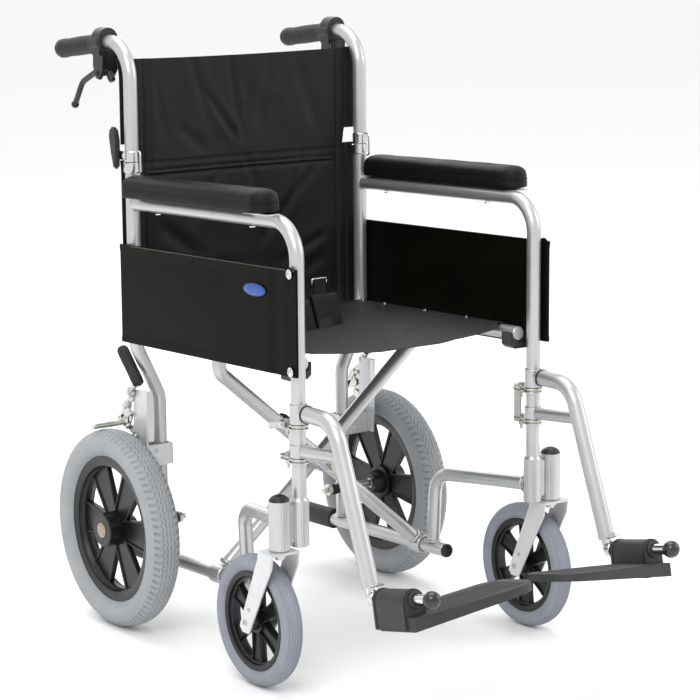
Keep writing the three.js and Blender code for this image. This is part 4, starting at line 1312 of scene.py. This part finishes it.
def barrel_block():
    """The block that turns on the spindle: a half round on square sides."""
    outline = [(18, -41)] + half_round(18, -3) + [(-18, -41)]
    body = prism(outline, -88, -9, "xz", 1.6, 3)
    for y in (-14, -83):
        hoop = [(18.8, -40)] + half_round(18.8, -3) + [(-18.8, -40)]
        body += prism(hoop, y - 3, y + 3, "xz", 0.8)
    washer = lathe([(0, 8.6), (0, 12), (3, 12), (4, 11), (4, 8.6)], 36, loop=True)
    return body + washer.pointed(AHEAD, (0, -88, 0))


pair(
    "footplate_deck", on_foot(footplate() + barrel_block()), GREY_PLASTIC, "footplate", ["footplate"],
    sharp=40,
)

# ---- parking brakes ------------------------------------------------------------------
BRAKE_X = 222
BRAKE_GRIP_X = 227
bracket_line = [(214, 256), (262, 256), (262, 296), (252, 330), (252, 380), (210, 383)]
bracket = prism(bracket_line, BRAKE_X, BRAKE_X + 3, "yz", 0.6)
bracket += block((LOWER_X - 14, CANE_Y - 15.5, 254), (BRAKE_X + 1, CANE_Y - 13, 289), 0.6)
bracket += block((LOWER_X - 14, CANE_Y + 13, 254), (BRAKE_X + 1, CANE_Y + 15.5, 289), 0.6)
bracket += block((LOWER_X - 14, CANE_Y - 15.5, 254), (LOWER_X - 11.6, CANE_Y + 15.5, 289), 0.6)
bracket += block((BRAKE_X - 9, 211, 300), (BRAKE_X + 1, 213.4, 382), 0.6)
for z in (264, 279):
    bracket += screw((LOWER_X + 16, CANE_Y - 15.6, z), AHEAD, 3.6)
for y, z in ((252, 376), (264, 352)):
    bracket += lathe([(0, 0.01), (0, 3.5), (12, 3.5), (12, 0.01)], 20).pointed(OUT, (BRAKE_X, y, z))
    bracket += hex_bolt((BRAKE_X + 11.5, y, z), OUT, 5, 3.4)
pair("brake_plate", bracket, BRIGHT, "frame", ["brake_bracket"])


def link_plate(ends, half, low, high):
    """A flat link with round ends between two points (y, z)."""
    (y0, z0), (y1, z1) = ends
    facing = math.atan2(z1 - z0, y1 - y0)
    outline = []
    for (y, z), first in (((y1, z1), -90), ((y0, z0), 90)):
        for i in range(9):
            angle = facing + math.radians(first + 22.5 * i)
            outline.append((y + half * math.cos(angle), z + half * math.sin(angle)))
    return prism(outline, low, high, "yz", 0.4)


linkage = Solid()
for ends, depth in (
    (((254, 366), (275, 350)), 3.4), (((275, 350), (291, 326)), 0.4), (((256, 340), (268, 318)), 3.4),
    (((242, 306), (268, 316)), 0.4), (((268, 334), (290, 326)), 0.4),
):
    linkage += link_plate(ends, 6.2, BRAKE_X + depth, BRAKE_X + depth + 2.2)
for y, z in ((275, 350), (256, 340), (290, 326), (267, 318), (243, 306)):
    linkage += hex_bolt((BRAKE_X + 5.6, y, z), OUT, 4.8, 4)
pair("brake_linkage", linkage, ZINC, "frame")

grip_low = Vector((BRAKE_GRIP_X, 232, 394))
grip_high = Vector((BRAKE_GRIP_X, 282, 444))
lever = sweep(rounded([(BRAKE_X + 9, 249, 379), (*grip_low, 6), (BRAKE_GRIP_X, 262, 424)]), 4, 16)
lever += lathe([(226, 0.01), (226, 8), (227, 9), (232, 9), (233, 8), (233, 0.01)], 32).moved(y=252, z=376)
pair("parking_lever_arm", lever, ZINC, "parking_lever", ["parking_brake_lever"])
handle = [
    (-3, 0.01), (-3, 7.4), (-1, 9.3), (8, 9.7), (24, 9.5), (40, 9.7), (58, 9.8), (66, 9.4), (70, 7),
    (71, 0.01),
]
pair(
    "parking_lever_grip", lathe(handle, 36).pointed(grip_high - grip_low, grip_low), RUBBER,
    "parking_lever", sharp=50,
)

link = prism(
    [(256, 352), (264, 360), (272, 352), (279, 326), (272, 318), (265, 326)], BRAKE_X + 4.2,
    BRAKE_X + 7, "yz", 0.6,
)
link += lathe([(226, 0.01), (226, 5), (287, 5), (290, 3.5), (290, 0.01)], 32).moved(y=272, z=324)
link += hex_bolt((BRAKE_X + 7, 272, 324), OUT, 7, 5)
pair("brake_rod", link, ZINC, "brake_shoe", ["brake_shoe"])

# ---- lap belt ------------------------------------------------------------------------
def ribbon(route, width, thickness=1.6, across=(1, 0, 0)):
    """A flat strap along a route, its width laid along across."""
    points = [Vector(p) for p in route]
    verts = []
    wide = Vector(across).normalized() * (width / 2)
    for i, point in enumerate(points):
        run = (points[min(i + 1, len(points) - 1)] - points[max(i - 1, 0)]).normalized()
        flat = (wide - run * wide.dot(run)).normalized() * (width / 2)
        up = run.cross(flat).normalized() * (thickness / 2)
        verts += [point - flat - up, point + flat - up, point + flat + up, point - flat + up]
    return capped(verts, 4)


def smooth_route(corners, steps=10):
    """A Catmull-Rom curve through the corners."""
    ends = [Vector(corners[0])] + [Vector(c) for c in corners] + [Vector(corners[-1])]
    route = []
    for a, b, c, d in zip(ends, ends[1:], ends[2:], ends[3:]):
        for i in range(steps):
            t = i / steps
            square = (2 * a - 5 * b + 4 * c - d) * t * t
            cube = (3 * b - a - 3 * c + d) * t ** 3
            route.append(0.5 * (2 * b + (c - a) * t + square + cube))
    return route + [Vector(corners[-1])]


def belt_loop(x, y, height):
    """A folded length of webbing, standing on the seat and leaning back."""
    route = [(x, y, 475), (x - 1, y + 8, 475 + 0.5 * height), (x - 2, y + 17, 472 + height)]
    route += [
        (x - 2, y + 21, 475 + height), (x - 2, y + 25, 472 + height),
        (x - 1, y + 20, 475 + 0.5 * height),
    ]
    return ribbon(smooth_route(route + [(x, y + 15, 475)]), 27, 2.2, (1, 0.12, 0))


belt = belt_loop(-25, 40, 50) + belt_loop(9, 46, 57) + belt_loop(37, 54, 55)
strap_line = [(-40, 58, 476), (0, 66, 474.5), (40, 78, 475), (70, 130, 476), (88, 200, 482), (92, 240, 494)]
belt += ribbon(smooth_route(strap_line), 38)
belt += ribbon(smooth_route([(14, 68, 520), (15, 71, 535), (15, 73, 556)]), 22, 2.2)
belt_piece = add("lap_belt_webbing", belt, WEBBING, "right_frame", ["lap_belt"], sharp=60)
buckle = block((-4, 44, 476), (24, 50, 500), 2).turned(math.radians(-14), "X", (0, 44, 476))
buckle_piece = add("lap_belt_buckle", buckle, PLASTIC, "right_frame")
wire = rounded([(1, 73, 550), (1, 73, 558, 3), (29, 73, 558, 3), (29, 73, 550)])
slider_piece = add("lap_belt_slider", sweep(wire, 1.3, 12), CHROME, "right_frame")
for soft in (belt_piece, buckle_piece, slider_piece):
    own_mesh(soft)

# ---- floor, lights, world ------------------------------------------------------------
def stage_floor():
    mesh = bmesh.new()
    bmesh.ops.create_grid(mesh, x_segments=1, y_segments=1, size=60)
    data = bpy.data.meshes.new("floor")
    mesh.to_mesh(data)
    mesh.free()
    floor = bpy.data.objects.new("floor", data)
    floor.location.z = -0.0005
    bpy.context.scene.collection.objects.link(floor)
    white = bpy.data.materials.new("floor_white")
    white.use_nodes = True
    white.node_tree.nodes["Principled BSDF"].inputs["Base Color"].default_value = (0.93, 0.93, 0.935, 1)
    white.node_tree.nodes["Principled BSDF"].inputs["Roughness"].default_value = 0.75
    data.materials.append(white)


def softbox(name, place, target, size, power, color=(1, 1, 1)):
    lamp = bpy.data.lights.new(name, "AREA")
    lamp.shape = "RECTANGLE"
    lamp.size, lamp.size_y = size
    lamp.energy = power
    lamp.color = color
    box = bpy.data.objects.new(name, lamp)
    bpy.context.scene.collection.objects.link(box)
    box.location = place
    box.rotation_euler = (Vector(target) - Vector(place)).to_track_quat("-Z", "Y").to_euler()


stage_floor()
softbox("key", (-2.6, -2.2, 3.4), (0, 0, 0.4), (2.4, 2.4), 72)
softbox("fill", (3.4, -2.0, 2.2), (0, 0, 0.4), (2.4, 2.4), 36)
softbox("top", (0.2, 0.6, 4.2), (0, 0, 0.3), (3.2, 3.2), 78)
softbox("rear", (0.8, 4.0, 2.4), (0, 0, 0.6), (3.5, 2.2), 40)
world = bpy.data.worlds.new("studio")
world.use_nodes = True
world.node_tree.nodes["Background"].inputs["Color"].default_value = (1, 1, 1, 1)
world.node_tree.nodes["Background"].inputs["Strength"].default_value = 1.0
bpy.context.scene.world = world
bpy.context.scene.view_settings.view_transform = "Standard"
